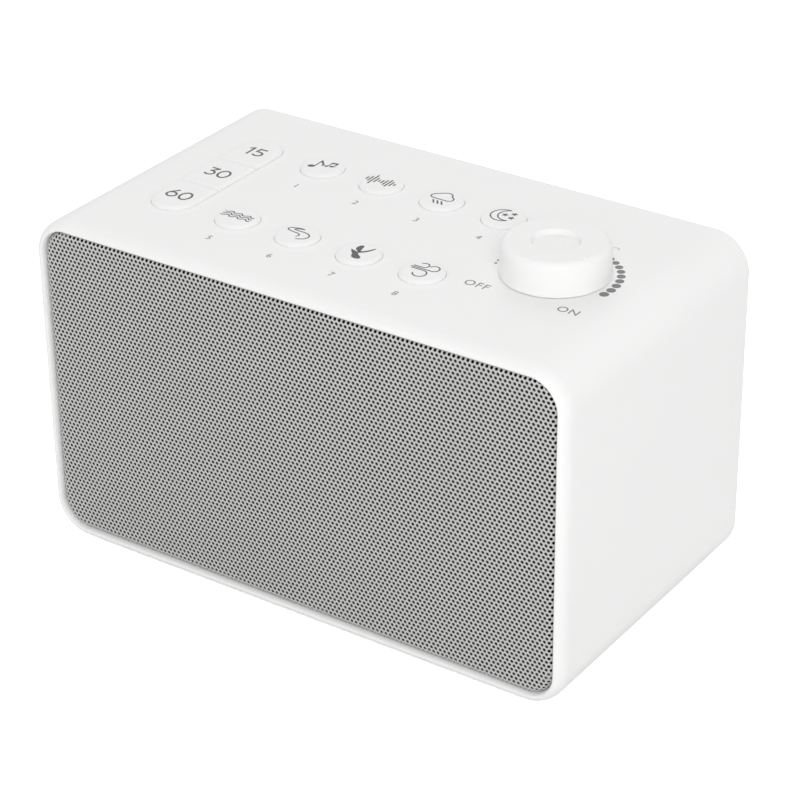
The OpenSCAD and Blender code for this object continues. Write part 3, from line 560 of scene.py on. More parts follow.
plastic("shell_white", (0.87, 0.87, 0.865), (0.4, 0.48))
plastic("key_white", (0.86, 0.86, 0.855), (0.34, 0.42), grain=0.2, depth=3)
plastic("grille_grey", (0.52, 0.52, 0.51), (0.42, 0.52), 0.03, 0.12, 8)
cloth("cloth_black", (0.006, 0.006, 0.006), (0.02, 0.02, 0.02), 0.0004, 0.00006)
plastic("black_plastic", (0.03, 0.03, 0.032), (0.45, 0.55), 0.1)
plastic("foam_black", (0.02, 0.02, 0.02), (0.8, 0.9), grain=0.8, depth=100)
metal("bright_steel", (0.62, 0.63, 0.65))
plastic("cone_black", (0.025, 0.025, 0.027), (0.7, 0.8), grain=0.6, depth=40)
cloth("spider_tan", (0.3, 0.18, 0.07), (0.5, 0.32, 0.13), 0.0005, 0.0001)
metal("coil_copper", (0.66, 0.3, 0.16))
plastic("magnet_grey", (0.05, 0.05, 0.053), (0.55, 0.7), grain=0.4, depth=20)
metal("brass_tag", (0.7, 0.5, 0.2))
plastic("board_green", (0.02, 0.14, 0.06), (0.2, 0.3), 0.2, 2, 30, Coat_Weight=0.4)
plastic("capacitor_blue", (0.02, 0.03, 0.1), (0.25, 0.3), 0.1)
plastic("socket_ivory", (0.72, 0.68, 0.55), (0.4, 0.5), 0.04)
plastic("wire_red", (0.32, 0.02, 0.015), (0.35, 0.45), 0.08)
plastic("ribbon_grey", (0.42, 0.42, 0.44), (0.4, 0.5), 0.05)
plastic("foot_rubber", (0.05, 0.05, 0.052), (0.75, 0.85), grain=0.5, depth=30)
plastic("print_grey", (0.19, 0.19, 0.19), (0.45, 0.55), 0.05, 0.1, 2)
plastic("print_dark", (0.08, 0.08, 0.081), (0.45, 0.55), 0.05, 0.1, 2)

# ------------ sleeve


def hole_rim():
    """Profile of the panel round a key hole, from the flat panel in: distance outside the hole's
    wall and level. The edge swells a little and then rolls into the hole."""
    out = np.linspace(SWELL_W, RIM_ROLL, 14)
    rise = SWELL * (0.5 + 0.5 * np.cos(np.pi * (out - RIM_ROLL) / (SWELL_W - RIM_ROLL)))
    slope = np.stack([out, TOP_Z + rise], axis=1)
    edge = arc(RIM_ROLL, TOP_Z + SWELL - RIM_ROLL, RIM_ROLL, RIM_ROLL, 90, 180, 6)[1:]
    wall = [[0, TOP_Z - 1], [0, CEILING_Z]]
    return np.concatenate([[[SWELL_W + HOLD, TOP_Z]], slope, edge, wall])


def strip_path(steps=40):
    """Path round the timer opening: a half turn about either end of its middle line."""
    reach = (TIMER_LEN - TIMER_W) / 2
    turn = np.linspace(0, np.pi, steps + 1)
    half = ways(turn)
    ahead, behind = (np.tile([0, end], (steps + 1, 1)) for end in (reach, -reach))
    holds = [[0, reach - HOLD], [0, HOLD - reach]]
    base = np.concatenate([ahead, holds, behind, holds[::-1]])
    normal = np.concatenate([half, [[-1, 0]] * 2, -half, [[1, 0]] * 2])
    return base + TIMER_SPOT, normal


def rim_patch(path, wall_reach):
    """The swelling edge of one key hole, with its wall down to the ceiling, and the outlines of
    the patch and of the hole."""
    base, normal = path
    surface = facing_axis(swept(path, hole_rim() + [wall_reach, 0]))
    return surface, base + (wall_reach + SWELL_W + HOLD) * normal, base + wall_reach * normal


def sleeve_section():
    """Closed section of the sleeve: inset from its outer side, and depth. It runs from the rear
    edge along the outside to the crown, into the grille well, over the ledge and back inside."""
    well_in = RIM + 0.2
    round_y, crown_y, mouth_y = BACK_Y - REAR_ROUND, FRONT_Y + CROWN_DEPTH, FRONT_Y + MOUTH_DEPTH
    ledge_y, lip_y = BAFFLE_REAR_Y, BACK_Y - REAR_LIP
    ledge_back = ledge_y + LEDGE_T
    rear = arc(REAR_ROUND, round_y, REAR_ROUND, REAR_ROUND, 90, 180, 10)
    outside = run(0, round_y, 0, crown_y)
    crown = arc(CROWN_INSET, crown_y, CROWN_INSET, CROWN_DEPTH, 180, 270, 20)
    nose = arc(CROWN_INSET, mouth_y, well_in - CROWN_INSET, MOUTH_DEPTH, 270, 360, 12)
    well = run(well_in, mouth_y, well_in, ledge_y)
    ledge = [[RIM + LEDGE_W, ledge_y], [RIM + LEDGE_W, ledge_back], [WALL, ledge_back]]
    within = run(WALL, ledge_back, WALL, lip_y)
    back = arc(WALL - REAR_LIP, lip_y, REAR_LIP, REAR_LIP, 0, 90, 4)
    return [rear, outside[1:3], crown, nose[1:], well[1:], ledge, within[1:], back[1:]]


def sleeve_surface():
    """The section carried round the rounded rectangle. The flat of the top panel and of its
    underside is left out of the grid and filled by flat sheets with the key holes."""
    parts = sleeve_section()
    section = np.concatenate(parts)
    starts = np.cumsum([0] + [len(part) for part in parts])
    path = cornered_path(HALF_W - CORNER_R, HALF_H - CORNER_R, (0, MID_Z), CORNER_STEPS)
    reach = np.stack([CORNER_R - section[:, 0], section[:, 1]], axis=1)
    points, faces = swept(path, reach, upright=False, wrap_profile=True)
    columns = len(section)
    row, column = faces[:, 0] // columns, faces[:, 0] % columns
    top_row = CORNER_STEPS + 1
    outer_flat, inner_flat = starts[1], starts[6]
    gone = (row == top_row) & ((column == outer_flat) | (column == inner_flat))
    reach_x = HALF_W - CORNER_R - HOLD

    def panel(column_at):
        """Outline of the flat that the grid leaves out after a column of the section."""
        near, far = sorted(section[[column_at, column_at + 1], 1])
        return [[-reach_x, near], [reach_x, near], [reach_x, far], [-reach_x, far]]

    rims = [rim_patch(round_path(spot, 72), BUTTON_R + KEY_GAP) for spot in BUTTON_SPOTS]
    rims.append(rim_patch(strip_path(), TIMER_W / 2 + KEY_GAP))
    loops, walls = [], []
    for spot, radius in ((KNOB_SPOT, BUSHING_HOLE_R), (LIGHT_SPOT, LIGHT_HOLE_R)):
        base, normal = round_path(spot, 48)
        loops.append(base + radius * normal)
        walls.append(facing_axis(swept((base, normal), [[radius, TOP_Z], [radius, CEILING_Z]])))
    edges, patches, holes = zip(*rims)
    over = level_sheet(panel(outer_flat), [*patches, *loops], TOP_Z)
    under = level_sheet(panel(inner_flat), [*holes, *loops], CEILING_Z, up=False)
    return joined(outward((points, faces[~gone])), *edges, *walls, over, under)


def facing_axis(surface):
    """A hole's edge or wall with its faces turned up, or on an upright wall towards the axis."""
    points, faces = surface
    a, b, c = (points[faces[:, corner]] for corner in range(3))
    normal = np.cross(b - a, c - b)
    good = normal[:, 2].sum()
    if abs(good) < TINY:
        good = ((points.mean(axis=0) - points[faces].mean(axis=1)) * normal).sum()
    return surface if good > 0 else (points, faces[:, ::-1])


# ------------ grille


def flat_edge_distance(points):
    """Signed distance of points from the edge of the grille's flat face, a rounded rectangle,
    and the outward normal there."""
    half = ((GRILLE_HIGH - GRILLE_LOW) / 2)[[0, 2]] - GRILLE_ROUND
    radius = CORNER_R - HALF_W + GRILLE_HIGH[0] - GRILLE_ROUND
    beyond = np.abs(points) - (half - radius)
    outside = np.maximum(beyond, 0)
    length = np.linalg.norm(outside, axis=1)
    normal = np.sign(points) * outside / np.maximum(length, TINY)[:, None]
    return length + np.minimum(beyond.max(axis=1), 0) - radius, normal


def pressed(points, inset):
    """Flat sheet points carried onto the pressed grille: flat inside the edge, then round a
    quarter circle, then straight back. The inset is the depth below the front skin."""
    distance, normal = flat_edge_distance(points)
    out = np.clip(distance, 0, GRILLE_END)
    turn = np.minimum(out, GRILLE_BEND) / GRILLE_ROUND
    radius = GRILLE_ROUND - inset
    across = np.where(out > 0, radius * np.sin(turn), 0)
    depth = GRILLE_ROUND - radius * np.cos(turn) + np.maximum(out - GRILLE_BEND, 0)
    depth = np.where(distance > 0, depth, inset)
    edge = points - normal * np.maximum(distance, 0)[:, None]
    flat = edge + normal * across[:, None]
    return np.column_stack([flat[:, 0], GRILLE_LOW[1] + depth, flat[:, 1] + MID_Z])


def grille_surface(left, right):
    """Part of the perforated sheet between two places along X. Holes stand in rows, every other
    row half a pitch over. Each has a six-sided cell of twelve points and twelve points round
    the hole; the cells past the last holes are closed by a fan. The flat net is then pressed."""
    last_row = int((HALF_H + GRILLE_ROUND) / ROW_STEP)
    last_column = int((HALF_W + GRILLE_ROUND) / HOLE_PITCH)
    rows, columns = (np.arange(-last, last + 1) for last in (last_row, last_column))
    row, column = (part.ravel() for part in np.meshgrid(rows, columns, indexing="ij"))
    centres = np.stack([(column + 0.5 * (row % 2)) * HOLE_PITCH, row * ROW_STEP], axis=1)
    distance, _ = flat_edge_distance(centres)
    reached = distance < GRILLE_END + HOLE_PITCH / 2
    use = reached & (centres[:, 0] >= left) & (centres[:, 0] < right)
    centres, distance = centres[use], distance[use]
    here = np.arange(HOLE_POINTS)
    around = ways(2 * np.pi * here / HOLE_POINTS)
    cell_r = np.where(here % 2 == 1, HOLE_PITCH / math.sqrt(3), HOLE_PITCH / 2)
    squash = [1, ROW_STEP / (HOLE_PITCH * math.sqrt(3) / 2)]
    middles = centres[:, None]
    net = np.concatenate([middles + cell_r[:, None] * around * squash, middles + HOLE_R * around,
                          middles], axis=1)
    beyond, middle = (here + 1) % HOLE_POINTS, np.full(HOLE_POINTS, 2 * HOLE_POINTS)
    web = np.stack([here, beyond, beyond + HOLE_POINTS, here + HOLE_POINTS], axis=1)
    fan = np.stack([here + HOLE_POINTS, beyond + HOLE_POINTS, middle, middle], axis=1)
    base = net.shape[1] * np.arange(len(centres))[:, None, None]
    plain = distance > LAST_HOLE
    faces = np.concatenate([(base + web).reshape(-1, 4), (base[plain] + fan).reshape(-1, 4)])
    flat = net.reshape(-1, 2)
    _, first, where = np.unique(np.round(flat, 5), axis=0, return_index=True, return_inverse=True)
    flat, faces = flat[first], where.reshape(-1)[faces]
    return outward(thickened(pressed(flat, 0), pressed(flat, SHEET_T), faces))


def lining_surface():
    """Cloth stretched flat behind the grille: rings of a rounded rectangle, each a share of the
    cut size, from the middle out over the front and from the edge back in over the rear."""
    radius = CORNER_R - HALF_W + LINING_HIGH[0]
    half_x, half_z = ((LINING_HIGH - LINING_LOW) / 2)[[0, 2]] - radius
    edge = np.concatenate([
        arc(x * half_x, z * half_z, radius, radius, start, start + 90, 12)
        for x, z, start in ((1, 1, 0), (-1, 1, 90), (-1, -1, 180), (1, -1, 270))])
    shares = np.linspace(0.05, 1, 8)
    rings = [raised(edge * share, LINING_LOW[1]) for share in shares]
    rings += [raised(edge * share, LINING_HIGH[1]) for share in shares[::-1]]
    return stacked(np.array(rings)[..., [0, 2, 1]] + [0, 0, MID_Z])


# ------------ keys


def button_surface(spot):
    """Round cap with a soft edge over its flange and stem."""
    profile = np.concatenate([
        [[0, KEY_TOP_Z]], run(1, KEY_TOP_Z, BUTTON_R - KEY_EDGE, KEY_TOP_Z, SMALL_HOLD),
        [[BUTTON_R - inward, KEY_TOP_Z - down] for inward, down in KEY_CHAMFER[1:]],
        [[BUTTON_R, FLANGE_TOP_Z], [BUTTON_R + FLANGE_OUT, FLANGE_TOP_Z],
         [BUTTON_R + FLANGE_OUT, FLANGE_UNDER_Z], [STEM_R, FLANGE_UNDER_Z], [STEM_R, STEM_UNDER_Z],
         [0, STEM_UNDER_Z]]])
    return turned(profile, spot)


def timer_outline(row, grow, split_grow, steps=40):
    """Outline of one timer key about its middle. The keys at the strip's two ends have one
    half-round end; the others end straight at the splits."""
    reach = TIMER_W / 2 + grow
    half = (TIMER_PITCH - TIMER_SPLIT) / 2 + split_grow
    end = (TIMER_LEN - TIMER_W) / 2 - TIMER_PITCH

    def side(x0, y0, x1, y1):
        """A straight side without its first point."""
        return run(x0, y0, x1, y1, SMALL_HOLD)[1:]

    near = side(-reach, -half, reach, -half)
    if row == 1:
        right, left = side(reach, -half, reach, half), side(-reach, half, -reach, -half)
        return np.concatenate([near[-1:], right, side(reach, half, -reach, half), left, near[:-1]])
    bow = arc(0, end, reach, reach, 0, 180, steps)
    right, left = side(reach, -half, reach, end), side(-reach, end, -reach, -half)
    loop = np.concatenate([bow, left, near, right[:-1]])
    return loop if row == 0 else -loop


def timer_key_surface(row, middle):
    """Rings of the key's outline from under its flange up over its soft edge."""
    steps = [(FLANGE_OUT, 0, FLANGE_UNDER_Z), (FLANGE_OUT, 0, FLANGE_TOP_Z), (0, 0, FLANGE_TOP_Z)]
    steps += [(-inward, -SPLIT_SHARE * inward, KEY_TOP_Z - down)
              for inward, down in reversed(KEY_CHAMFER)]
    steps.append((-KEY_EDGE - SMALL_HOLD, -SPLIT_SHARE * KEY_EDGE - SMALL_HOLD, KEY_TOP_Z))
    rings = [raised(timer_outline(row, grow, split) + middle, level)
             for grow, split, level in steps]
    stem_top = FLANGE_UNDER_Z + 0.5
    stem = [[0, stem_top], [STEM_R, stem_top], [STEM_R, STEM_UNDER_Z], [0, STEM_UNDER_Z]]
    return joined(stacked(rings), turned(stem, middle - TIMER_SHIFT, 32))


def knob_surface():
    """Turned knob: a round dish with a flat floor, a flat top that ends crisply at a rounded
    band, an upright side and the hollow below, and the small round pip that is its pointer."""
    top, under, foot = KNOB_TOP_Z, KNOB_UNDER_Z, (KNOB_HIGH[0] - KNOB_LOW[0]) / 2
    side, band_r, band_w, band_turn = foot - 0.2, 2.2, 1.25, 64
    band_z = top - band_r * math.sin(math.radians(band_turn))
    dish, floor_r, floor_z, fillet, lip = 6.2, 5.65, top - 1.25, 0.25, 0.15
    hollow, wall, bore_r, bore_top = TOP_Z + 6.3, 2, 3.03, TOP_Z + 6.95
    hub_r, hub_under = 5, TOP_Z + 2.9
    profile = np.concatenate([
        [[0, floor_z]], run(1, floor_z, floor_r - fillet, floor_z, SMALL_HOLD),
        arc(floor_r - fillet, floor_z + fillet, fillet, fillet, 270, 350, 6)[1:],
        arc(dish + lip, top - lip, lip, lip, 170, 90, 6),
        run(dish + lip, top, side - band_w, top, SMALL_HOLD)[1:],
        arc(side - band_r, band_z, band_r, band_r, band_turn, 0, 12)[1:],
        run(side, top - band_r, foot, under + lip, SMALL_HOLD)[1:],
        arc(foot - lip, under + lip, lip, lip, 0, -90, 6)[1:],
        [[foot - wall, under], [side - wall, hollow], [hub_r, hollow], [hub_r, hub_under],
         [bore_r, hub_under], [bore_r, bore_top], [0, bore_top]]])
    turn, pip_r, pip_h, pip_in = math.radians(POINTER_TURN), 0.6, 0.4, band_w + 0.75
    pip_spot = KNOB_SPOT + (side - pip_in) * ways(turn)
    pip = [*arc(0, top - 0.05, pip_r, pip_h, 90, 0, 8), [pip_r, top - 0.6], [0, top - 0.6]]
    return joined(turned(profile, KNOB_SPOT, 144), turned(pip, pip_spot, 32))


def light_surface():
    """Lens of the small light: a short rod with a low domed end, flush with the panel."""
    radius, dome, proud, foot = LIGHT_HOLE_R - 0.22, 0.18, 0.02, CEILING_Z - 0.5
    profile = [[0, TOP_Z + proud], *arc(0, TOP_Z + proud - dome, radius, dome, 84, 0, 8),
               [radius, foot], [0, foot]]
    return turned(profile, LIGHT_SPOT, 48)


# ------------ printing


def lettering(words, size, spot, level, spacing):
    """Plain printed text as a thin solid, its middle at the spot, reading along X."""
    curve = bpy.data.curves.new("lettering", "FONT")
    curve.body = words
    curve.size = size
    curve.extrude = INK_T / 2
    curve.space_character = spacing
    curve.align_x = "CENTER"
    curve.resolution_u = 6
    text = placed("lettering", curve)
    bpy.context.view_layer.update()
    seen = text.evaluated_get(bpy.context.evaluated_depsgraph_get())
    mesh = bpy.data.meshes.new_from_object(seen)
    mesh.calc_loop_triangles()
    points = np.array([vertex.co[:] for vertex in mesh.vertices])
    triangles = np.array([triangle.vertices[:] for triangle in mesh.loop_triangles])
    bpy.data.objects.remove(text)
    bpy.data.curves.remove(curve)
    bpy.data.meshes.remove(mesh)
    points += [*spot, level + INK_T / 2] - (points.max(axis=0) + points.min(axis=0)) / 2
    return outward((points, np.concatenate([triangles, triangles[:, 2:]], axis=1)))


def digit_lines(digit):
    """Centre lines of one plain digit of unit height, standing on the origin, and its width."""
    bowl = arc(0.3, 0.29, 0.31, 0.29, 115, -145, 26)
    if digit == "0":
        return [arc(0.35, 0.5, 0.35, 0.5, 0, 360, 48)], 0.7
    if digit == "1":
        return [[[0.04, 0.8], [0.34, 1.03]], [[0.31, 1.05], [0.31, -0.06]]], 0.38
    if digit == "3":
        return [[[0.04, 1], [0.64, 1]], [[0.6, 1.03], [0.27, 0.59]], bowl], 0.62
    if digit == "5":
        return [[[0.1, 1], [0.6, 1]], [[0.13, 1.06], [0.06, 0.5]], bowl], 0.62
    back = smooth([[0.47, 1.05], [0.3, 0.85], [0.1, 0.58], [0, 0.34]])
    return [arc(0.31, 0.31, 0.31, 0.31, 0, 360, 40), back], 0.62


def timer_digits(number, spot):
    """Two drawn digits side by side, their middle at the spot, on top of a timer key."""
    found = [digit_lines(digit) for digit in str(number)]
    shift = -(sum(width for _, width in found) + DIGIT_GAP) / 2
    size = [DIGIT_STRETCH * DIGIT_H, DIGIT_H]
    pieces = []
    for lines, width in found:
        for line in lines:
            place = (np.asarray(line, float) + [shift, -0.5]) * size + spot
            pieces.append(stroke(place, DIGIT_PEN, KEY_TOP_Z + STROKE_LIFT * len(pieces)))
        shift += width + DIGIT_GAP
    return joined(*pieces)


def dot_ring():
    """Volume dots round the knob, shrinking and closing up from the loud end to the quiet end."""
    turns = np.cumsum([DOT_FIRST_TURN, *np.linspace(*DOT_GAPS, DOT_COUNT - 1)])
    dots = []
    for step, turn in enumerate(np.radians(turns)):
        radius = DOT_R - DOT_SHRINK * step
        spot = DOT_RING_SPOT + DOT_RING_R * ways(turn)
        dots.append(turned([[0, TOP_Z + INK_T], [radius, TOP_Z + INK_T], [radius, TOP_Z],
                            [0, TOP_Z]], spot, 28))
    return joined(*dots)


def panel_printing():
    """Plain numbers in front of the sound buttons, and OFF and ON in front of the knob."""
    words = [(str(key), 3.0, spot + [0.1, -11.9], 1.1)
             for key, spot in enumerate(BUTTON_SPOTS, start=1)]
    words += [("OFF", 3.75, KNOB_SPOT + [-12.6, -15.7], 1.12),
              ("ON", 3.7, KNOB_SPOT + [13.05, -15.5], 1.1)]
    return joined(*[lettering(word, size, spot, TOP_Z, spacing)
                    for word, size, spot, spacing in words])


def smooth(points, closed=False, steps=6):
    """Catmull-Rom curve through the points."""
    points = np.asarray(points, float)
    if closed:
        ahead, behind = points[-1:], points[:2]
    else:
        ahead, behind = 2 * points[:1] - points[1:2], 2 * points[-1:] - points[-2:-1]
    padded = np.concatenate([ahead, points, behind])
    t = np.linspace(0, 1, steps, endpoint=False)[:, None]
    curve = [0.5 * (2 * b + (c - a) * t + (2 * a - 5 * b + 4 * c - d) * t**2
                    + (3 * b - a - 3 * c + d) * t**3)
             for a, b, c, d in zip(padded, padded[1:], padded[2:], padded[3:])]
    return np.concatenate(curve if closed else [*curve, points[-1:]])


def tilted(points, degrees, x, y):
    """Points turned about their origin and then moved."""
    c, s = ways(math.radians(degrees))
    return np.asarray(points) @ np.array([[c, s], [-s, c]]) + [x, y]


def star(x, y, size):
    """Five-pointed star."""
    turn = np.radians(90 + 36 * np.arange(10))
    reach = np.where(np.arange(10) % 2 == 0, size, 0.42 * size)
    return [x, y] + reach[:, None] * ways(turn)


def drawn(points, pens=1, closed=False):
    """Printed line on top of a button, so many pens wide."""
    return stroke(points, pens * ICON_PEN, KEY_TOP_Z, closed)


def filled(outline):
    """Printed flat shape on top of a button."""
    return plate(outline, KEY_TOP_Z)


def note_icon():
    """One flagged note and one pair of notes under a beam."""
    def head(x, y, size):
        """Tilted oval head of a note."""
        return filled(tilted(arc(0, 0, size, 0.72 * size, 0, 345, 23), 25, x, y))

    flag = smooth([[-2.0, 2.95], [-1.45, 2.05], [-0.6, 1.25], [-0.4, 0.25]])
    return [head(-2.8, -1.3, 0.98), drawn([[-2.0, -1.1], [-2.0, 3.0]]), drawn(flag, 1.5),
            head(0.65, 0.65, 0.62), head(2.15, 1.1, 0.62), drawn([[1.15, 0.7], [1.15, 3.0]]),
            drawn([[2.65, 1.15], [2.65, 3.3]]), drawn([[1.0, 2.9], [2.8, 3.3]], 2)]


def bars_icon():
    """Upright bars of different heights, as on a level meter."""
    heights = np.array([1.6, 3.1, 5.6, 2.8, 1.2, 1.9, 3.1, 4.4, 2.7, 1.1])
    spots = 0.945 * np.arange(len(heights)) - 4.85
    return [drawn([[x, 0.6 - h / 2], [x, 0.6 + h / 2]], 1.2) for x, h in zip(spots, heights)]


def rain_icon():
    """Cloud outline over three slanting strokes of rain."""
    cloud = smooth([[-3.0, -0.05], [-3.75, 0.9], [-3.35, 2.0], [-2.5, 2.7], [-1.5, 3.5],
                    [-0.2, 4.05], [1.05, 3.55], [1.6, 2.5], [2.55, 1.75], [2.75, 0.7],
                    [1.9, -0.15], [-0.6, -0.2]], closed=True)
    drops = [drawn([[x, -1.1], [x + 1.15, -2.8]], 1.2) for x in (-1.9, -0.65, 0.6)]
    return [drawn(cloud, closed=True), *drops]


def night_icon():
    """Crescent outline with three stars."""
    crescent = np.concatenate([arc(-0.55, 0.6, 3.3, 3.3, 80, 318, 44),
                               arc(0.95, 1.1, 2.95, 2.95, 286, 108, 36)])
    stars = [filled(star(x, y, 1.05)) for x, y in ((-0.25, 1.05), (1.65, 2.5), (2.05, 0.15))]
    return [drawn(crescent, closed=True), *stars]


def waves_icon():
    """Three wavy lines, one above the other, that lean forward."""
    x = np.linspace(-4.6, 4.3, 60)
    rise = 0.37 * np.sin(2 * np.pi * x / 2.65 + 2.1)
    return [drawn(np.stack([x + 0.5 * rise, y + rise], axis=1)) for y in (-0.55, 0.5, 1.55)]


def stream_icon():
    """A winding stream between its two banks."""
    near = [[0.0, 3.3], [-1.7, 3.1], [-3.25, 2.55], [-4.0, 1.8], [-3.35, 1.05], [-1.7, 0.75],
            [-0.1, 0.5], [0.65, -0.2], [0.3, -1.2]]
    far = [[0.0, 3.15], [-1.5, 2.7], [-2.3, 2.15], [-1.3, 1.85], [0.8, 1.8], [2.45, 1.4],
           [3.35, 0.2], [2.8, -1.3], [1.0, -2.3]]
    return [drawn(smooth(bank)) for bank in (near, far)]


def bird_icon():
    """Small flying bird: a body with its tail, and two raised wings."""
    body = [[-2.75, 0.7], [-2.0, 0.5], [-1.0, 0.25], [-0.1, -0.35], [0.7, -1.15], [1.85, -2.0],
            [1.95, -2.85], [1.1, -3.25], [-0.1, -3.05], [-0.8, -2.2], [-1.1, -1.4], [-2.0, -0.45]]
    near_wing = [[-1.65, 3.6], [-0.85, 3.65], [-0.5, 2.4], [-0.15, 0.8], [-0.4, 0.3],
                 [-1.2, 0.7], [-1.95, 1.5], [-2.05, 2.6]]
    far_wing = [[2.45, 4.0], [2.4, 3.0], [1.7, 1.5], [0.7, 0.3], [-0.15, -0.3], [-0.6, 0.5],
                [0.45, 1.1], [1.5, 2.4], [2.1, 3.6]]
    return [filled(smooth(part, closed=True, steps=4)) for part in (body, near_wing, far_wing)]


def wind_icon():
    """Three gusts of wind, each a line that ends in a curl."""
    gusts = [((-3.6, 1.75), (-1.1, 2.88), 1.13, 160), ((-4.0, 1.05), (1.9, 2.45), 1.4, 165),
             ((-3.5, 0.4), (0.1, -1.35), -1.75, 165)]
    lines = []
    for start, middle, radius, reach in gusts:
        bow = arc(*middle, abs(radius), radius, -90, reach, 30)
        lines.append(drawn(np.concatenate([np.linspace(start, bow[0], 10)[:-1], bow])))
    return lines


ICONS = (note_icon, bars_icon, rain_icon, night_icon, waves_icon, stream_icon, bird_icon, wind_icon)


def icon_surface(key):
    """Icon of one sound button, moved onto the button's top."""
    points, faces = joined(*ICONS[key - 1]())
    return points + [*BUTTON_SPOTS[key - 1], 0], faces


# ------------ building it


def add_surface(name, surface, body, slot, replaced=(), sharp_degrees=SHARP):
    """Piece made of one surface, in the finish of its slot."""
    mesh = make_mesh(name, surface, sharp_degrees)
    return add_piece(name, mesh, body, FINISH[slot], replaced)


def add_print(name, surface, body, ink):
    """Thin printing on a panel or key."""
    add_piece(name, make_mesh(name, surface), body, FINISH[ink])


def soften(node, width, slot):
    """Copy of a CAD node, merged, with its edges rounded by a live bevel."""
    mesh = frame["nodes"][node].data.copy()
    merged_within, flat_degrees, bevel_degrees = 0.002 * MM, 1, 40
    work = bmesh.new()
    work.from_mesh(mesh)
    bmesh.ops.remove_doubles(work, verts=work.verts, dist=merged_within)
    bmesh.ops.dissolve_limit(work, angle_limit=math.radians(flat_degrees), verts=work.verts,
                             edges=work.edges)
    work.to_mesh(mesh)
    work.free()
    shade(mesh, SHARP)
    piece = add_piece(f"{node}_shape", mesh, BODY, FINISH[slot], [node])
    bevel = piece.modifiers.new("Rounded edges", "BEVEL")
    bevel.width = width * MM
    bevel.segments = 3
    bevel.limit_method = "ANGLE"
    bevel.angle_limit = math.radians(bevel_degrees)


def dress_cad_nodes():
    """Every CAD node gets the finish of its material slot."""
    for part in frame["record"]["subparts"]:
        thing = frame["nodes"][part["node"]]
        thing.data.materials.clear()
        thing.data.materials.append(FINISH[part["material_slot"]])


def build_object():
    """All pieces of the dressed machine."""
    add_surface("sleeve", sleeve_surface(), BODY, "shell_white", ["housing"])
    for name, left, right in zip(GRILLE_PARTS, GRILLE_LIMITS, GRILLE_LIMITS[1:]):
        add_surface(f"grille_{name}", grille_surface(left, right), BODY, "grille_grey",
                    ["front_grille"], GRILLE_SHARP)
    lining = add_surface("lining", lining_surface(), BODY, "cloth_black", ["grille_cloth"])
    for key, spot in enumerate(BUTTON_SPOTS, start=1):
        add_surface(f"button_cap_{key}", button_surface(spot), f"button_{key}", "key_white",
                    [f"sound_button_{key}"])
        add_print(f"button_icon_{key}", icon_surface(key), f"button_{key}", "print_dark")
    for row, number in enumerate(TIMER_NUMBERS):
        middle = TIMER_SPOT + [0, TIMER_PITCH * (1 - row)]
        add_surface(f"timer_cap_{number}", timer_key_surface(row, middle), f"timer_{number}",
                    "key_white", [f"timer_key_{number}"])
        add_print(f"timer_number_{number}", timer_digits(number, middle), f"timer_{number}",
                  "print_dark")
    add_surface("knob_cap", knob_surface(), "knob", "key_white", ["volume_knob"], KNOB_SHARP)
    add_surface("light_lens", light_surface(), BODY, "key_white")
    add_print("panel_numbers", panel_printing(), BODY, "print_grey")
    add_print("volume_dots", dot_ring(), BODY, "print_grey")
    soften("rear_cover", 0.35, "shell_white")
    soften("power_jack", 0.2, "black_plastic")
    soften("phone_jack", 0.2, "black_plastic")
    soften("feet", 0.3, "foot_rubber")


# ------------ stage and light


def build_floor():
    """Plain pale floor that a camera ray sees as white wherever light reaches it."""
    mesh = bpy.data.meshes.new("floor")
    corners = [(x * FLOOR_HALF, y * FLOOR_HALF, 0) for x, y in ((-1, -1), (1, -1), (1, 1), (-1, 1))]
    mesh.from_pydata(corners, [], [(0, 1, 2, 3)])
    material = bpy.data.materials.new("floor_white")
    material.use_nodes = True
    tree = material.node_tree
    tree.nodes.clear()
    result = put(tree, "OutputMaterial")
    diffuse = put(tree, "BsdfDiffuse")
    rays = put(tree, "LightPath")
    seen = put(tree, "MapRange", To_Min=FLOOR_TINT, To_Max=FLOOR_SEEN)
    wire(tree, (rays, "Is Camera Ray", seen, "Value"), (seen, "Result", diffuse, "Color"),
         (diffuse, "BSDF", result, "Surface"))
    mesh.materials.append(material)
    placed("floor", mesh)


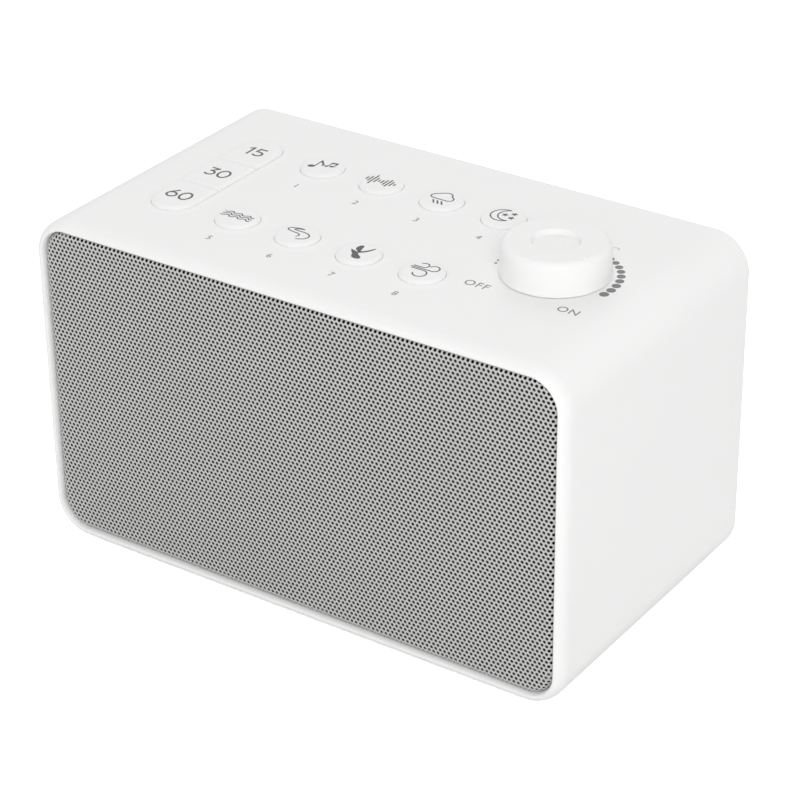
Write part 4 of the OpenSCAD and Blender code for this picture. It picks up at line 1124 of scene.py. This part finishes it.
def build_world():
    """Soft white surroundings, stronger low down than overhead; camera, glossy and transmission
    rays see plain white."""
    world = bpy.data.worlds.new("surroundings")
    bpy.context.scene.world = world
    world.use_nodes = True
    tree = world.node_tree
    tree.nodes.clear()
    result = put(tree, "OutputWorld")
    way = put(tree, "TexCoord")
    parts = put(tree, "SeparateXYZ")
    height = put(tree, "MapRange", To_Min=HORIZON_LIGHT, To_Max=ZENITH_LIGHT)
    light = put(tree, "Background", Color=(1, 1, 1, 1))
    plain = put(tree, "Background", Color=(1, 1, 1, 1))
    rays = put(tree, "LightPath")
    either, any_ray = (put(tree, "Math", {"operation": "MAXIMUM"}) for _ in range(2))
    mix = put(tree, "MixShader")
    wire(tree, (way, "Generated", parts, 0), (parts, "Z", height, "Value"),
         (height, "Result", light, "Strength"), (rays, "Is Camera Ray", either, 0),
         (rays, "Is Glossy Ray", either, 1), (either, 0, any_ray, 0),
         (rays, "Is Transmission Ray", any_ray, 1), (any_ray, 0, mix, "Fac"), (light, 0, mix, 1),
         (plain, 0, mix, 2), (mix, 0, result, "Surface"))


def add_softbox(name, place, size, power):
    """Square area lamp that faces the machine. Glossy rays see the plain white surroundings
    alone, so that no pale surface clips where it mirrors a lamp."""
    lamp = bpy.data.lights.new(name, "AREA")
    lamp.size = size
    lamp.energy = power
    thing = placed(name, lamp)
    thing.location = place
    thing.visible_glossy = False
    thing.rotation_euler = (Vector(LAMP_AIM) - Vector(place)).to_track_quat("-Z", "Y").to_euler()


def build_camera():
    """Camera from its azimuth, elevation, roll, place and focal length."""
    azimuth, elevation, roll = (math.radians(degrees) for degrees in CAMERA_TURNS)
    back = Vector((math.sin(azimuth) * math.cos(elevation),
                   -math.cos(azimuth) * math.cos(elevation), math.sin(elevation)))
    right = (-back).cross(Vector((0, 0, 1))).normalized()
    up = right.cross(-back)
    rolled_right = math.cos(roll) * right + math.sin(roll) * up
    rolled_up = -math.sin(roll) * right + math.cos(roll) * up
    camera = bpy.data.cameras.new("camera")
    camera.sensor_width = SENSOR_W
    camera.lens = CAMERA_FOCAL / PICTURE_W * SENSOR_W
    camera.clip_start, camera.clip_end = 0.05, 20
    thing = placed("camera", camera)
    turn = Matrix((rolled_right, rolled_up, back)).transposed().to_4x4()
    thing.matrix_world = Matrix.Translation(CAMERA_SPOT) @ turn
    bpy.context.scene.camera = thing


dress_cad_nodes()
build_object()
build_floor()
build_world()
for lamp_row in LAMPS:
    add_softbox(*lamp_row)
build_camera()
bpy.context.scene.view_settings.view_transform = "Standard"
